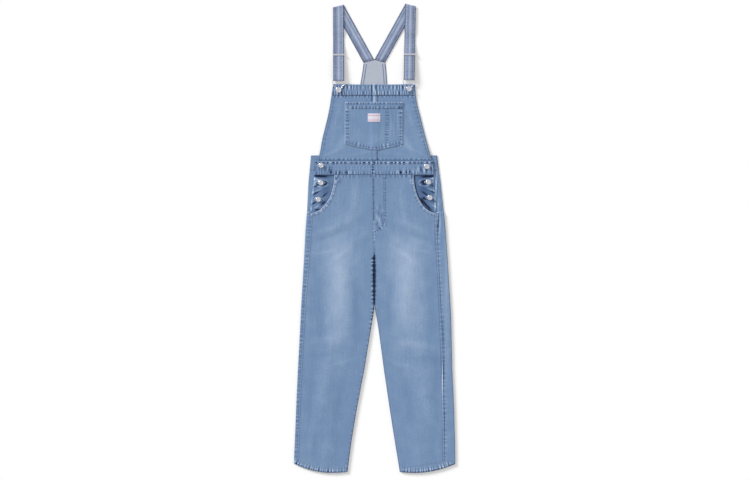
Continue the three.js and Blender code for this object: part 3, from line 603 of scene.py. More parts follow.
@dataclass
class Leg:
    """One leg: the front, the back wrapped round the outseam, and the hip-pocket facing."""

    hand: Hand
    mouth: Mouth
    hem: Hem
    pitch: float = 2.2
    stand_fold: float = 2.3
    stand_width: float = 42.0
    seam_end: float = 776.0
    opening: float = 784.0
    front_top: float = 891.3
    back_top: float = 905.7
    crotch: float = 650.0
    touch: float = -0.9
    facing_shade: float = 0.12
    pieces: dict[str, bpy.types.Object] = field(default_factory=dict)

    def __post_init__(self) -> None:
        """Reads the nodes that the leg's pieces replace."""
        self.front_plan = NodePlan(f"front_leg_{self.hand.word}")
        self.back_plan = NodePlan(f"back_leg_{self.hand.word}")
        self.facing_plan = NodePlan(f"hip_facing_{self.hand.word}")

    def edges(self, plan: NodePlan, rows: np.ndarray) -> tuple[np.ndarray, np.ndarray]:
        """Outer and inner x of a leg's node on rows that follow the curved hem.

        Args:
            plan: the node.
            rows: heights of the rows on a straight leg, in millimetres.

        Returns:
            The two edges, in metres.
        """
        outer, inner = [], []
        for y in rows:
            high = up(y)
            still = plan.sides(max(high, up(34)))
            places = [float(self.hem.rise(np.array(x), np.array(high))) for x in still]
            lifts = sorted(places, reverse=True)
            outer.append(self.hand.outer(plan.sides(high + lifts[0] + 0.2 * MM)))
            inner.append(self.hand.inner(plan.sides(high + lifts[1] + 0.2 * MM)))
        return np.array(outer), np.array(inner)

    def closed(self, inner: np.ndarray, rows: np.ndarray) -> np.ndarray:
        """Inner edge moved to where the thighs touch below the crotch."""
        touching = ramp(rows, 492, 512) * (1 - ramp(rows, 640, 650))
        return inner + (self.touch * MM - inner) * touching

    def bend(self, rows: np.ndarray) -> np.ndarray:
        """How far the inner edge is curled into a fold: whole below the crotch, flat above it."""
        return 1 - ramp(rows, self.crotch - 12, self.crotch + 12)

    def front(self) -> Cloth:
        """The front leg, from its outer edge to the inseam, where it curls half way down."""
        side = self.hand.value
        low_mouth = self.mouth.y - self.mouth.down
        near = low_mouth + np.array([0.1, 0.4, 0.9, 1.6, 2.6, 4.0, 5.6])
        rows = np.concatenate([steps(0, low_mouth - 0.4, self.pitch), near,
                steps(low_mouth + 7.4, self.front_top, self.pitch)])
        outer, inner = self.edges(self.front_plan, rows)
        cut = (self.mouth.edge(rows) - side * 0.15) * MM
        scooped = np.maximum(outer, cut) if side < 0 else np.minimum(outer, cut)
        outer = np.where(rows < low_mouth, outer, scooped)
        inner = self.closed(inner, rows)
        shares = np.concatenate([steps(0, 0.09, 0.011), steps(0.105, 0.89, 0.0155), steps(0.901, 1, 0.0065)])
        x = outer[:, None] + (inner - outer)[:, None] * shares
        y = np.broadcast_to(up(rows)[:, None], x.shape)
        y = y + self.hem.rise(x, y)
        z = sampled(self.front_plan, x, y, 3)
        cloth = Cloth.on_plan(x, y, z, LEG_SEAMS)
        return self.curl(cloth, rows, inner)

    def curl(self, cloth: Cloth, rows: np.ndarray, inner: np.ndarray) -> Cloth:
        """Curls the front's inner edge half way down round the inseam, below the crotch, and paints shade on the
        curl and along the hem's edge.
        """
        near = np.abs(cloth.x - inner[:, None])
        height = cloth.z[:, -4:].max(axis=1)[:, None]
        radius = height / 2
        share = np.clip(1 - near / radius, 0, 1)
        sunk = radius * (1 - np.sqrt(np.clip(1 - share * share, 0, 1)))
        cloth.z = cloth.z - self.bend(rows)[:, None] * np.minimum(sunk, radius - GAP / 2)
        # Painted shade on the curled inner edge, then the painted line of shade along the hem's folded edge
        cloth.wear = cloth.wear - 0.65 * self.bend(rows)[:, None] * np.clip(share, 0, 1)
        cloth.wear = cloth.wear - self.hem_shade(rows)
        return cloth

    def hem_shade(self, rows: np.ndarray) -> np.ndarray:
        """Painted shade: a dark line along the folded edge of the hem, by row."""
        return 0.5 * np.exp(-(rows[:, None] / 3.6) ** 2)

    def back(self) -> Cloth:
        """The back leg: over the floor, round the outer fold, and on to its edge on the front."""
        side = self.hand.value
        rows = np.concatenate([steps(0, 775, self.pitch), steps(776, 787, 1.1),
                steps(789, self.back_top, self.pitch)])
        outer, inner = self.edges(self.back_plan, rows)
        inner = self.closed(inner, rows)
        front = self.seam(rows)
        seam_height = np.array([
            self.front_plan.top(float(x) - side * 2 * MM, up(min(y, 774)) + 3 * MM, 4.4 * MM) for x,
            y in zip(front, rows)])
        opened = ramp(rows, self.seam_end, self.opening)
        height = seam_height + (self.stand_fold * MM - seam_height) * opened
        radius = height / 2
        turn = outer - side * radius
        tuck = ramp(rows, self.opening, self.opening + 2)
        end = front + (outer - side * self.stand_width * MM - front) * tuck
        x, z = self.section(inner, turn, end, radius, rows)
        y = np.broadcast_to(up(rows)[:, None], x.shape)
        y = y + self.hem.rise(x, y)
        upper = np.clip((z - radius[:, None]) / radius[:, None], 0, 1) * (1 - opened[:, None])
        cloth = Cloth.on_plan(x, y, z, LEG_SEAMS, upper)
        seen = ramp(z / (2 * radius[:, None]), 0.3, 0.8)
        cloth.wear = seen * cloth.wear + (1 - seen) * sum(fade.tint(x, y) for fade in BACK_WASH)
        # Painted shade on the outer fold, darkest on its side that faces outwards, and the painted line of shade
        # along the hem
        rolled = np.clip(side * (x - turn[:, None]) / radius[:, None], 0, 1)
        cloth.wear = cloth.wear - 0.42 * rolled ** 2 - self.hem_shade(rows)
        return cloth

    def section(
        self, inner: np.ndarray, turn: np.ndarray, end: np.ndarray, radius: np.ndarray, rows: np.ndarray,
    ) -> tuple[np.ndarray, np.ndarray]:
        """Points of the back's sections, row by row.

        Args:
            inner: x of the inseam.
            turn: x of the middle of the outer fold.
            end: x of the back's edge on the front.
            radius: radius of the outer fold.
            rows: heights of the rows, in millimetres.

        Returns:
            The x and z of every point.
        """
        side = self.hand.value
        lift = self.bend(rows)
        curl = 2.2 * MM
        quarter = np.radians(np.array([4, 26, 48, 70]))
        x = [
            inner + side * curl * ((1 - math.cos(a)) * lift + (a / (math.pi / 2)) * (1 - lift)) for a in quarter]
        z = [curl * (1 - math.sin(a)) * lift for a in quarter]
        for share in steps(0, 1, 0.09)[:-1]:
            x.append(inner + side * curl + (turn - inner - side * curl) * share)
            z.append(np.zeros_like(inner))
        for angle in np.radians(steps(0, 180, 18)):
            x.append(turn + side * radius * math.sin(angle))
            z.append(radius * (1 - math.cos(angle)))
        for share in steps(0, 1, 0.075)[1:]:
            x.append(turn + (end - turn) * share)
            z.append(2 * radius)
        return np.array(x).T, np.array(z).T

    def seam(self, rows: np.ndarray) -> np.ndarray:
        """Plan x of the back's edge along the outseam, and of the facing's edge above it."""
        side = self.hand.value
        low_mouth = self.mouth.y - self.mouth.down
        edges = []
        for y in rows:
            if y < low_mouth - 1:
                lift = float(self.hem.rise(np.array(self.hand.outer(self.front_plan.sides(up(max(y, 34))))),
                        np.array(up(y))))
                edges.append(self.hand.outer(self.front_plan.sides(up(y) + lift + 0.2 * MM)) + side * GAP)
            else:
                edges.append(self.hand.outer(self.facing_plan.sides(up(min(max(y, 780),
                        889)))) + side * 2 * GAP)
        return np.array(edges)

    def facing(self) -> Cloth:
        """The hip-pocket facing, flat under the scooped front, with the light and shade of its small folds
        painted on.
        """
        node = self.facing_plan
        low, high = float(node.box[0].y), float(node.box[1].y)
        rows = steps(low + 0.3 * MM, high - 0.1 * MM, 1.3 * MM)
        sides = np.array([node.sides(float(y)) for y in rows])
        across = steps(0, 1, 0.022)
        x = sides[:, :1] + (sides[:, 1:] - sides[:, :1]) * across
        y = np.broadcast_to(rows[:, None], x.shape) + 0 * x
        z = np.full(x.shape, float(node.box[1].z))
        # Painted fold shading, painted shadow and painted lines on the facing; where dark, the facing also sinks
        # a little
        marks = sum(fade.tint(x, y) for fade in PLACKET_FOLD_SHADING) + sum(line.pull(x,
                y)[1] for line in PLACKET_LINES)
        wear = sum(fade.tint(x, y) for fade in WASH_AND_SHADE_MARKS) - self.facing_shade + marks
        return Cloth(x, y, z + 0.24 * MM * np.clip(marks, -1, 0), wear)

    def build(self) -> None:
        """Makes the three pieces with their thickness and keeps them by name."""
        flip = self.hand is Hand.RIGHT
        grids = {"front_leg": (self.front(), flip), "back_leg": (self.back(), flip),
                "hip_facing": (self.facing(), False)}
        for word, (grid, turned) in grids.items():
            node = f"{word}_{self.hand.word}"
            piece = grid.shell(f"cloth_{node}", turned)
            self.pieces[word] = piece
            thicken(piece, CLOTH)
            log.info("%s %s", node, [round(v, 4) for v in grid.flat()])


def rolled_edge(distance: np.ndarray, radius: float, drop: float) -> np.ndarray:
    """Depth by which a folded edge rounds over, for distances in from it."""
    share = np.clip(1 - distance / radius, 0, 1)
    return drop * (1 - np.sqrt(np.clip(1 - share * share, 0, 1)))


@dataclass(frozen=True)
class Panel:
    """One sewn-on piece laid over its CAD node: how fine its grid is, how its edges round over, and how much
    painted shade darkens them.
    """

    node: str
    pitch_x: float
    pitch_y: float
    thickness: float
    seams: tuple[Seam, ...] = ()
    roll: float = 0.0
    relief: float = 1.0
    every: int = 2
    corner: float = 1e3
    # Painted shade along the edges; a negative amount paints a highlight there instead
    rim: float = 0.3

    def grid(self, plan: NodePlan, top: Callable[[np.ndarray], np.ndarray] | None = None) -> Cloth:
        """The piece's cloth, from its lowest to its highest edge.

        Args:
            plan: the node.
            top: plan y of the upper edge at places across the piece, where it isn't level.

        Returns:
            The grid.
        """
        low, high = plan.box
        rows = steps(0, 1, self.pitch_y * MM / (high.y - low.y))
        across = steps(0, 1, self.pitch_x * MM / (high.x - low.x))
        inset = 0.1 * MM
        level = low.y + inset + (high.y - low.y - 2 * inset) * rows
        sides = np.array([plan.sides(min(float(y), self.corner)) for y in level])
        x = sides[:, :1] + (sides[:, 1:] - sides[:, :1]) * across
        y = np.broadcast_to(level[:, None], x.shape) + 0 * x
        if top:
            y = low.y + (top(x) - low.y) * rows[:, None]
            sides = np.array([[plan.sides(float(row[k]) - inset)[k] for k in (0, -1)] for row in y])
            x = sides[:, :1] + (sides[:, 1:] - sides[:, :1]) * across
        return self.dressed(plan, x, y, across, rows)

    def dressed(
        self, plan: NodePlan, x: np.ndarray, y: np.ndarray, across: np.ndarray, rows: np.ndarray,
    ) -> Cloth:
        """Cloth at the grid's points with its relief and its rounded edges."""
        cloth = Cloth.on_plan(x, y, sampled(plan, x, y, self.every), self.seams, self.relief)
        width = np.abs(x[:, -1:] - x[:, :1])
        height = np.abs(y[-1:] - y[:1])
        if self.roll:
            aside = np.minimum(across, 1 - across) * width
            along = np.minimum(rows, 1 - rows)[:, None] * height
            radius = self.roll * MM
            cloth.z = cloth.z - rolled_edge(np.minimum(aside, along), radius, 0.45 * self.thickness)
        edge = np.minimum(np.minimum(across, 1 - across) * width,
                np.minimum(rows, 1 - rows)[:, None] * height)
        # Painted shade along the piece's edges, a painted highlight where rim is negative
        cloth.wear = cloth.wear - self.rim * np.exp(-(edge / (1.1 * MM)) ** 2)
        return cloth


WAIST_SEAMS = (
    Seam(((-188, 897), (186, 897)), 6.0, 8.4, 0.34, 0.36, 21.0),
    Seam(((-188, 913), (186, 913)), 4.0, 9.5, 0.12, 0.16, 22.0),
    Seam(((-188, 928), (186, 928)), 3.2, 13.4, 0.28, 1.0, 23.0),
    Seam(((-4.8, 890), (-4.8, 936)), 4.0, 9.0, 0.3, 0.4, 24.0),
    Seam(((-128, 900), (-74, 899)), 6.0, 17.0, 0.4, 0.6, 24.3),
    Seam(((66, 900), (118, 902)), 6.0, 15.0, 0.4, 0.6, 24.7),
    Seam(((-186, 912), (-136, 908)), 9.0, 11.0, 0.4, 0.5, 25.3),
    Seam(((134, 908), (184, 912)), 9.0, 12.0, 0.4, 0.5, 25.7),
)
HEM_SEAMS = (
    Seam(((-122, 1137), (120, 1137)), 7.0, 8.2, 0.3, 0.56, 25.0, 0.0, 0.07),
    Seam(((-122, 1156), (120, 1155)), 7.5, 10.6, 0.26, 0.5, 26.0, 0.0, 0.07),
    # Painted shadow at both edges of the centre strip where it crosses the bib hem, and a painted highlight
    # between them
    Seam(((-8.4, 1130), (-8.4, 1166)), 1.7, 60.0, 0.0, 0.1, 31.0, 0.0, -0.5),
    Seam(((-1.4, 1130), (-1.4, 1166)), 3.4, 60.0, 0.0, 0.1, 32.0, 0.0, 0.46),
    Seam(((5.6, 1130), (5.6, 1166)), 1.6, 60.0, 0.0, 0.1, 33.0, 0.0, -0.36),
)
POCKET_HEM_LINE = 1094.1
PEN_X = 33.9
POCKET_SEAMS = (
    Seam(((-82, 1092), (-82, 990), (0, 972), (79, 990), (79, 1092)), 6.0, 10.2, 0.24, 0.34, 27.0),
    Seam(((-86, POCKET_HEM_LINE), (84, POCKET_HEM_LINE)), 3.6, 10.6, 0.22, 0.5, 28.0),
    Seam(((PEN_X + 3, 992), (PEN_X + 3, 1092)), 5.0, 7.5, 0.22, 0.3, 29.0),
    Seam(((-86, 1107), (84, 1107)), 4.0, 9.0, 0.2, 0.4, 30.0),
)


@dataclass
class Upper:
    """Waistbands, fly, bib, pocket and back bib."""

    pieces: dict[str, bpy.types.Object] = field(default_factory=dict)
    hem_dip: float = 1.6
    yoke_peak: float = 1238.0
    yoke_slope: float = 0.26
    pocket_tip: float = 966.0
    pocket_corner: float = 984.0
    pocket_tip_x: float = 0.5
    pocket_bow: float = 1.25
    pocket_top: float = 1110.6

    def panels(self) -> tuple[Panel, ...]:
        """The plain panels, from the floor upwards."""
        return (
            Panel("back_waistband", 4.0, 1.8, BAND, relief=0.0),
            Panel("fly", 4.0, 4.0, CLOTH, relief=0.0),
            Panel("waistband_left", 1.8, 1.1, BAND, WAIST_SEAMS, 2.2, 0.8),
            Panel("waistband_right", 1.8, 1.1, BAND, WAIST_SEAMS, 2.2, 0.8),
            Panel("bib_left", 2.0, 2.0, CLOTH, BIB_SEAMS),
            Panel("bib_right", 2.0, 2.0, CLOTH, BIB_SEAMS),
            Panel("bib_centre_strip", 1.4, 2.2, CLOTH, BIB_SEAMS, 1.4),
        )

    def build(self) -> None:
        """Makes every piece and keeps it by its node's name."""
        for panel in self.panels():
            self.keep(panel, panel.grid(NodePlan(panel.node)))
        hem = Panel("bib_hem", 1.0, 1.5, BAND, HEM_SEAMS, 2.2, 1.0, 1, rim=0.12)
        plan = NodePlan("bib_hem")
        left, right = float(plan.box[0].x), float(plan.box[1].x)
        self.keep(hem, hem.grid(plan, lambda x: self.hem_top(x, left, right)))
        yoke = Panel("back_bib", 3.0, 2.4, CLOTH, relief=0.0, corner=up(1227))
        self.keep(yoke, yoke.grid(NodePlan("back_bib"),
                lambda x: up(self.yoke_peak) - self.yoke_slope * np.abs(x)))
        self.keep(*self.pocket())

    def hem_top(self, x: np.ndarray, left: float, right: float) -> np.ndarray:
        """Upper edge of the bib hem, which dips a little in the middle."""
        return up(1165) - self.hem_dip * MM * np.sin(math.pi * np.clip((x - left) / (right - left), 0, 1))

    def pocket(self) -> tuple[Panel, Cloth]:
        """The bib pocket, with its pointed foot and its raised hem."""
        # The pocket's edges take a painted highlight, from its negative rim
        panel = Panel("bib_pocket", 1.7, 1.7, CLOTH, POCKET_SEAMS, 1.6, 0.85, 1, rim=-0.3)
        plan = NodePlan("bib_pocket")
        left, right = float(plan.box[0].x) / MM, float(plan.box[1].x) / MM
        across = steps(0, 1, panel.pitch_x / (right - left))
        hem_share = (POCKET_HEM_LINE - self.pocket_corner) / (self.pocket_top - self.pocket_corner)
        rows = np.unique(np.concatenate([steps(0, 1, panel.pitch_y / 130),
                hem_share + np.array([-0.007, 0.0, 0.007])]))
        x = np.broadcast_to(left + (right - left) * across, (len(rows), len(across)))
        from_tip = np.where(x < self.pocket_tip_x, (self.pocket_tip_x - x) / (self.pocket_tip_x - left),
                            (x - self.pocket_tip_x) / (right - self.pocket_tip_x))
        foot = self.pocket_tip + (self.pocket_corner - self.pocket_tip) * np.clip(from_tip, 0,
                1) ** self.pocket_bow
        y = foot + (self.pocket_top - foot) * rows[:, None]
        return panel, panel.dressed(plan, x * MM, up(y), across, rows)

    def keep(self, panel: Panel, cloth: Cloth) -> None:
        """Makes a panel's mesh and its thickness, and keeps it."""
        piece = cloth.shell(f"cloth_{panel.node}")
        thicken(piece, panel.thickness)
        self.pieces[panel.node] = piece
        log.info("%s %s", panel.node, [round(v, 4) for v in cloth.flat()])


def cad_copy(node: str, name: str) -> bmesh.types.BMesh:
    """A merged copy of a CAD node's mesh, with its triangles joined into larger faces where they lie flat."""
    mesh = bmesh.new()
    mesh.from_mesh(frame["nodes"][node].data)
    bmesh.ops.remove_doubles(mesh, verts=mesh.verts, dist=MERGE)
    bmesh.ops.recalc_face_normals(mesh, faces=mesh.faces)
    bmesh.ops.join_triangles(mesh, faces=mesh.faces, angle_face_threshold=0.6, angle_shape_threshold=0.8)
    return mesh


@dataclass
class Strap:
    """One shoulder strap: back run, slanted top fold, front run, loop round the bar, and the return."""

    hand: Hand
    x: float
    top: float
    slider: float
    button_x: float
    button_y: float
    width: float = 31.5
    thickness: float = 1.6
    fold: float = 0.95
    turn: float = 14.5
    bar_reach: float = 30.5
    bar_level: float = 5.15
    bar_radius: float = 2.5
    slider_low: float = 2.1
    slider_half: float = 5.0
    yoke_peak: float = 1238.3
    yoke_slope: float = 0.26
    pitch: float = 2.2

    def __post_init__(self) -> None:
        """Works out the fold's middle and the bar's height above the hems."""
        self.fold_y = self.top - self.fold - self.thickness / 2
        self.bar_y = self.button_y + self.bar_reach
        self.outward = -self.hand.value
        self.across = steps(-self.width / 2, self.width / 2, 1.4)

    def middle(self, y: np.ndarray) -> np.ndarray:
        """Mirrored x of the front run's middle line at a height."""
        share = np.clip((self.fold_y - y) / (self.fold_y - self.bar_y), 0, 1)
        return (self.x + (self.button_x - self.x) * share) * self.outward

    def back_run(self) -> list[np.ndarray]:
        """Rows from the strap's end against the back bib up to the fold."""
        tilt, slant = math.radians(2 * self.turn), math.tan(math.radians(self.turn))
        a = self.across
        start_x, start_y = self.x * self.outward + math.cos(tilt) * a, self.fold_y + math.sin(tilt) * a
        rise = self.yoke_peak + self.yoke_slope * start_x - start_y
        reach = rise / (math.cos(tilt) + self.yoke_slope * math.sin(tilt))
        rows = []
        for share in steps(0, 1, 0.05):
            run = reach + (-a * slant - reach) * share
            x, y = start_x - math.sin(tilt) * run, start_y + math.cos(tilt) * run
            rows.append(np.array([x, y, np.full_like(a, self.thickness / 2)]))
        return rows

    def top_fold(self) -> list[np.ndarray]:
        """Rows half way round the slanted fold."""
        turn = math.radians(self.turn)
        a = self.across
        rows = []
        for angle in np.radians(steps(-75, 75, 15)):
            out = self.fold * math.cos(angle)
            x = self.x * self.outward + a - math.sin(turn) * out
            y = self.fold_y + a * math.tan(turn) + math.cos(turn) * out
            rows.append(np.array([x, y,
                    np.full_like(a, self.thickness / 2 + self.fold * (1 + math.sin(angle)))]))
        return rows

    def front_run(self) -> list[np.ndarray]:
        """Rows from the fold over the back bib's edge and through the slider to the bar."""
        high = self.slider_low + 2 * self.fold
        fall = self.fold_y - self.slider
        halfway = self.fold_y - (self.slider + self.bar_y) / 2
        downs = [0, 14, 74, 96, 114, fall - self.slider_half, fall + self.slider_half, halfway,
                self.fold_y - self.bar_y]
        levels = [2.7, 2.7, 2.7, 1.1, 1.3, high, high, (high + self.bar_level + self.bar_radius) / 2,
                  self.bar_level + self.bar_radius]
        slants = [1, 1, 0.4, 0, 0, 0, 0, 0, 0]
        places = steps(0, downs[-1], self.pitch)
        rows = []
        for down in places:
            slant = float(np.interp(down, downs, slants)) * math.tan(math.radians(self.turn))
            y = self.fold_y - down + slant * self.across
            level = float(np.interp(down, downs, levels))
            rows.append(np.array([self.middle(y) + self.across, y, np.full_like(y, level)]))
        return rows

    def bar_loop(self) -> list[np.ndarray]:
        """Rows half way round the buckle's bar."""
        rows = []
        for angle in np.radians(np.linspace(75, -75, 11)):
            y = np.full_like(self.across, self.bar_y - self.bar_radius * math.cos(angle))
            level = self.bar_level + self.bar_radius * math.sin(angle)
            rows.append(np.array([self.middle(np.full_like(y, self.bar_y)) + self.across, y,
                    np.full_like(y, level)]))
        return rows

    def return_run(self) -> list[np.ndarray]:
        """Rows from under the bar back up through the slider."""
        halfway = (self.slider + self.bar_y) / 2
        low = self.bar_level - self.bar_radius
        end = self.slider + self.slider_half
        heights = [self.bar_y, halfway, self.slider - self.slider_half, end]
        levels = [low, (self.slider_low + low) / 2, self.slider_low, self.slider_low]
        rows = []
        for place in steps(self.bar_y, end, self.pitch):
            y = np.full_like(self.across, place)
            rows.append(np.array([self.middle(y) + self.across, y,
                    np.full_like(y, float(np.interp(place, heights, levels)))]))
        return rows

    def build(self) -> bpy.types.Object:
        """Makes the strap, with painted shade along its edges and short puckers beside its stitching."""
        rows = np.array([*self.back_run(), *self.top_fold(), *self.front_run(), *self.bar_loop(),
                *self.return_run()])
        x, y, z = rows[:, 0] * self.outward * MM, up(rows[:, 1]), rows[:, 2] * MM
        run = np.concatenate([[0], np.cumsum(np.hypot(np.diff(rows[:, 1, 10]), np.diff(rows[:, 2, 10])))])
        seed = 40.0 + self.hand.value
        edge = np.abs(np.abs(self.across) - (self.width / 2 - 7))
        wave = np.sin(2 * math.pi * (run[:, None] / 8.6 + 0.3 * drift(run[:, None] / 37, seed)))
        # Painted shade along the strap's edges; the bands add pale and dark lengthwise stripes
        rim = np.exp(-((np.abs(self.across) - self.width / 2) / 1.6) ** 2)
        band = 0.05 * drift(self.across / 11, seed) + sum(
            amount * np.exp(-((self.across - middle) / reach) ** 2)
            for middle, reach, amount in ((0.4, 2.0, 0.24), (8.8, 2.2, 0.12), (-10.0, 4.0, -0.2),
            (5.0, 1.8, -0.12)))
        wear = 0.12 * wave * np.exp(-(edge / 3.2) ** 2) + 0.05 * drift(run[:, None] / 60,
                seed) - 0.6 * rim + band
        grid = Cloth(x, y, z, wear + 0 * x)
        lift = 0.1 * MM * (wave - 1) * np.exp(-(edge / 4.5) ** 2)
        piece = grid.shell(f"cloth_strap_{self.hand.word}", self.hand is Hand.RIGHT, lift)
        log.info("strap %s", [round(v, 4) for v in grid.flat()])
        wall = piece.modifiers.new("cloth", "SOLIDIFY")
        wall.thickness = self.thickness * MM
        wall.offset = 0.0
        return piece


def linear(code: str) -> tuple[float, float, float, float]:
    """Linear colour of an sRGB hex code."""
    shares = [int(code[k:k + 2], 16) / 255 for k in (1, 3, 5)]
    return (*(c / 12.92 if c <= 0.04045 else ((c + 0.055) / 1.055) ** 2.4 for c in shares), 1.0)


def add_node(tree: bpy.types.NodeTree, kind: str, values: dict | None = None,
        **settings: object) -> bpy.types.Node:
    """Adds a shader node.

    Args:
        tree: the material's tree.
        kind: the node's type name.
        values: socket values or the sockets that feed them, by socket name or index.
        settings: the node's own settings.

    Returns:
        The new node.
    """
    node = tree.nodes.new(kind)
    for key, value in settings.items():
        setattr(node, key, value)
    for key, value in (values or {}).items():
        socket = node.inputs[key]
        if isinstance(value, bpy.types.NodeSocket):
            tree.links.new(value, socket)
        else:
            socket.default_value = value
    return node


def noise(
        tree: bpy.types.NodeTree, place: bpy.types.NodeSocket, scale: float, detail: float,
) -> bpy.types.NodeSocket:
    """Value of a soft noise at a place, with so many lumps a metre."""
    values = {"Vector": place, "Scale": scale, "Detail": detail}
    return add_node(tree, "ShaderNodeTexNoise", values).outputs[0]


def new_material(name: str) -> tuple[bpy.types.Material, bpy.types.NodeTree, bpy.types.Node]:
    """A material with its tree and its surface shader."""
    material = bpy.data.materials.new(name)
    material.use_nodes = True
    tree = material.node_tree
    return material, tree, tree.nodes["Principled BSDF"]


@dataclass(frozen=True)
class Denim:
    """Washed twill: streaked warp, mottled wash, and wear that pales the crests and leaves the seams dark,
    together with painted light and shade on edges, folds and gaps.
    """

    name: str
    deep: str
    shade: str
    cloth: str
    pale: str
    streak: float
    mottle: float
    wale: float = 1.1
    bump: float = 0.35

    def build(self) -> bpy.types.Material:
        """Makes the material."""
        material, tree, shader = new_material(self.name)
        place = add_node(tree, "ShaderNodeTexCoord").outputs["Object"]
        # Per-point attribute of the cloth: wash wear together with painted light and shade
        wear = add_node(tree, "ShaderNodeAttribute", attribute_name="wear").outputs["Fac"]
        # Warp slubs: upright streaks about 1 mm across and some centimetres long
        warp = add_node(tree, "ShaderNodeMapping", {"Vector": place, "Scale": (900.0, 26.0, 40.0)}).outputs[0]
        slub = noise(tree, warp, 1.0, 2.0)
        broad = add_node(tree, "ShaderNodeMapping",
                {"Vector": place, "Scale": (260.0, 14.0, 40.0)}).outputs[0]
        band = noise(tree, broad, 1.0, 1.0)
        # Wash mottle: soft clouds of a few millimetres and of some centimetres
        fine = noise(tree, place, 240.0, 3.0)
        cloud = noise(tree, place, 26.0, 2.0)
        tone = self.total(tree, [
            (wear, 1.0), (slub, self.streak), (band, 0.6 * self.streak), (fine, self.mottle),
            (cloud, 0.7 * self.mottle)])
        centred = add_node(tree, "ShaderNodeMath", {
            0: tone, 1: 0.5 - 0.5 * (1.6 * self.streak + 1.7 * self.mottle)}, operation="ADD").outputs[0]
        ramp_node = add_node(tree, "ShaderNodeValToRGB", {"Fac": centred})
        stops = ramp_node.color_ramp
        stops.elements[0].position, stops.elements[0].color = 0.0, linear(self.deep)
        stops.elements[1].position, stops.elements[1].color = 1.0, linear(self.pale)
        stops.elements.new(0.16).color = linear(self.shade)
        stops.elements.new(0.5).color = linear(self.cloth)
        tree.links.new(ramp_node.outputs[0], shader.inputs["Base Color"])
        shader.inputs["Roughness"].default_value = 0.92
        shader.inputs["Specular IOR Level"].default_value = 0.2
        shader.inputs["Sheen Weight"].default_value = 0.04
        shader.inputs["Sheen Roughness"].default_value = 0.6
        # Twill: wales about 1 mm apart that climb to the right, coarser than real cloth so that they show
        twill = add_node(tree, "ShaderNodeMapping", {
            "Vector": place, "Rotation": (0.0, 0.0, math.radians(-27)), "Scale": (1.0, 1.0, 0.0)}).outputs[0]
        wales = add_node(tree, "ShaderNodeTexWave", {
            "Vector": twill, "Scale": 1.0 / (self.wale * MM) / 3.18, "Distortion": 0.8,
            "Detail": 1.0}).outputs["Fac"]
        height = self.total(tree, [(wales, 0.5), (slub, 0.8), (fine, 0.5)])
        bump = add_node(tree, "ShaderNodeBump",
                {"Height": height, "Strength": self.bump, "Distance": 0.35 * MM})
        tree.links.new(bump.outputs[0], shader.inputs["Normal"])
        return material

    def total(self, tree: bpy.types.NodeTree,
            parts: Sequence[tuple[bpy.types.NodeSocket, float]]) -> bpy.types.NodeSocket:
        """Weighted sum of several values."""
        result = None
        for socket, weight in parts:
            share = add_node(tree, "ShaderNodeMath", {0: socket, 1: weight, 2: 0.0}, operation="MULTIPLY_ADD")
            if result:
                tree.links.new(result, share.inputs[2])
            result = share.outputs[0]
        return result


@dataclass(frozen=True)
class Tape:
    """Woven label tape: off-white, with a thin coloured stripe near its upper and lower edges."""

    name: str
    ground: str
    stripe: str
    low: float
    high: float

    def build(self) -> bpy.types.Material:
        """Makes the material."""
        material, tree, shader = new_material(self.name)
        place = add_node(tree, "ShaderNodeTexCoord").outputs["Object"]
        height = add_node(tree, "ShaderNodeSeparateXYZ", {0: place}).outputs["Y"]
        share = add_node(tree, "ShaderNodeMapRange", {
            "Value": height, "From Min": up(self.low), "From Max": up(self.high)}).outputs[0]
        bands = add_node(tree, "ShaderNodeValToRGB", {"Fac": share})
        bands.color_ramp.interpolation = "CONSTANT"
        bands.color_ramp.elements[0].color = linear(self.ground)
        bands.color_ramp.elements[1].position = 0.16
        bands.color_ramp.elements[1].color = linear(self.stripe)
        for position, colour in ((0.27, self.ground), (0.73, self.stripe), (0.84, self.ground)):
            bands.color_ramp.elements.new(position).color = linear(colour)
        tree.links.new(bands.outputs[0], shader.inputs["Base Color"])
        shader.inputs["Roughness"].default_value = 0.85
        weave = noise(tree, place, 1400.0, 1.0)
        bump = add_node(tree, "ShaderNodeBump", {"Height": weave, "Strength": 0.4, "Distance": 0.2 * MM})
        tree.links.new(bump.outputs[0], shader.inputs["Normal"])
        return material


@dataclass(frozen=True)
class Nickel:
    """Polished warm nickel: a bright metal with soft handling haze."""

    name: str
    colour: str
    roughness: float

    def build(self) -> bpy.types.Material:
        """Makes the material."""
        material, tree, shader = new_material(self.name)
        place = add_node(tree, "ShaderNodeTexCoord").outputs["Object"]
        haze = noise(tree, place, 380.0, 2.0)
        spread = add_node(tree, "ShaderNodeMath", {0: haze, 1: 0.12, 2: self.roughness},
                operation="MULTIPLY_ADD").outputs[0]
        tree.links.new(spread, shader.inputs["Roughness"])
        shader.inputs["Base Color"].default_value = linear(self.colour)
        shader.inputs["Metallic"].default_value = 1.0
        return material


@dataclass(frozen=True)
class Plain:
    """A matt finish of one colour with a faint mottle: thread, woven tape, the dark strip of painted groove
    shade or the studio floor.
    """

    name: str
    dark: str
    light: str
    grain: float
    roughness: float

    def build(self) -> bpy.types.Material:
        """Makes the material."""
        material, tree, shader = new_material(self.name)
        place = add_node(tree, "ShaderNodeTexCoord").outputs["Object"]
        grain = noise(tree, place, self.grain, 2.0)
        ramp_node = add_node(tree, "ShaderNodeValToRGB", {"Fac": grain})
        ramp_node.color_ramp.elements[0].color = linear(self.dark)
        ramp_node.color_ramp.elements[1].color = linear(self.light)
        tree.links.new(ramp_node.outputs[0], shader.inputs["Base Color"])
        shader.inputs["Roughness"].default_value = self.roughness
        return material


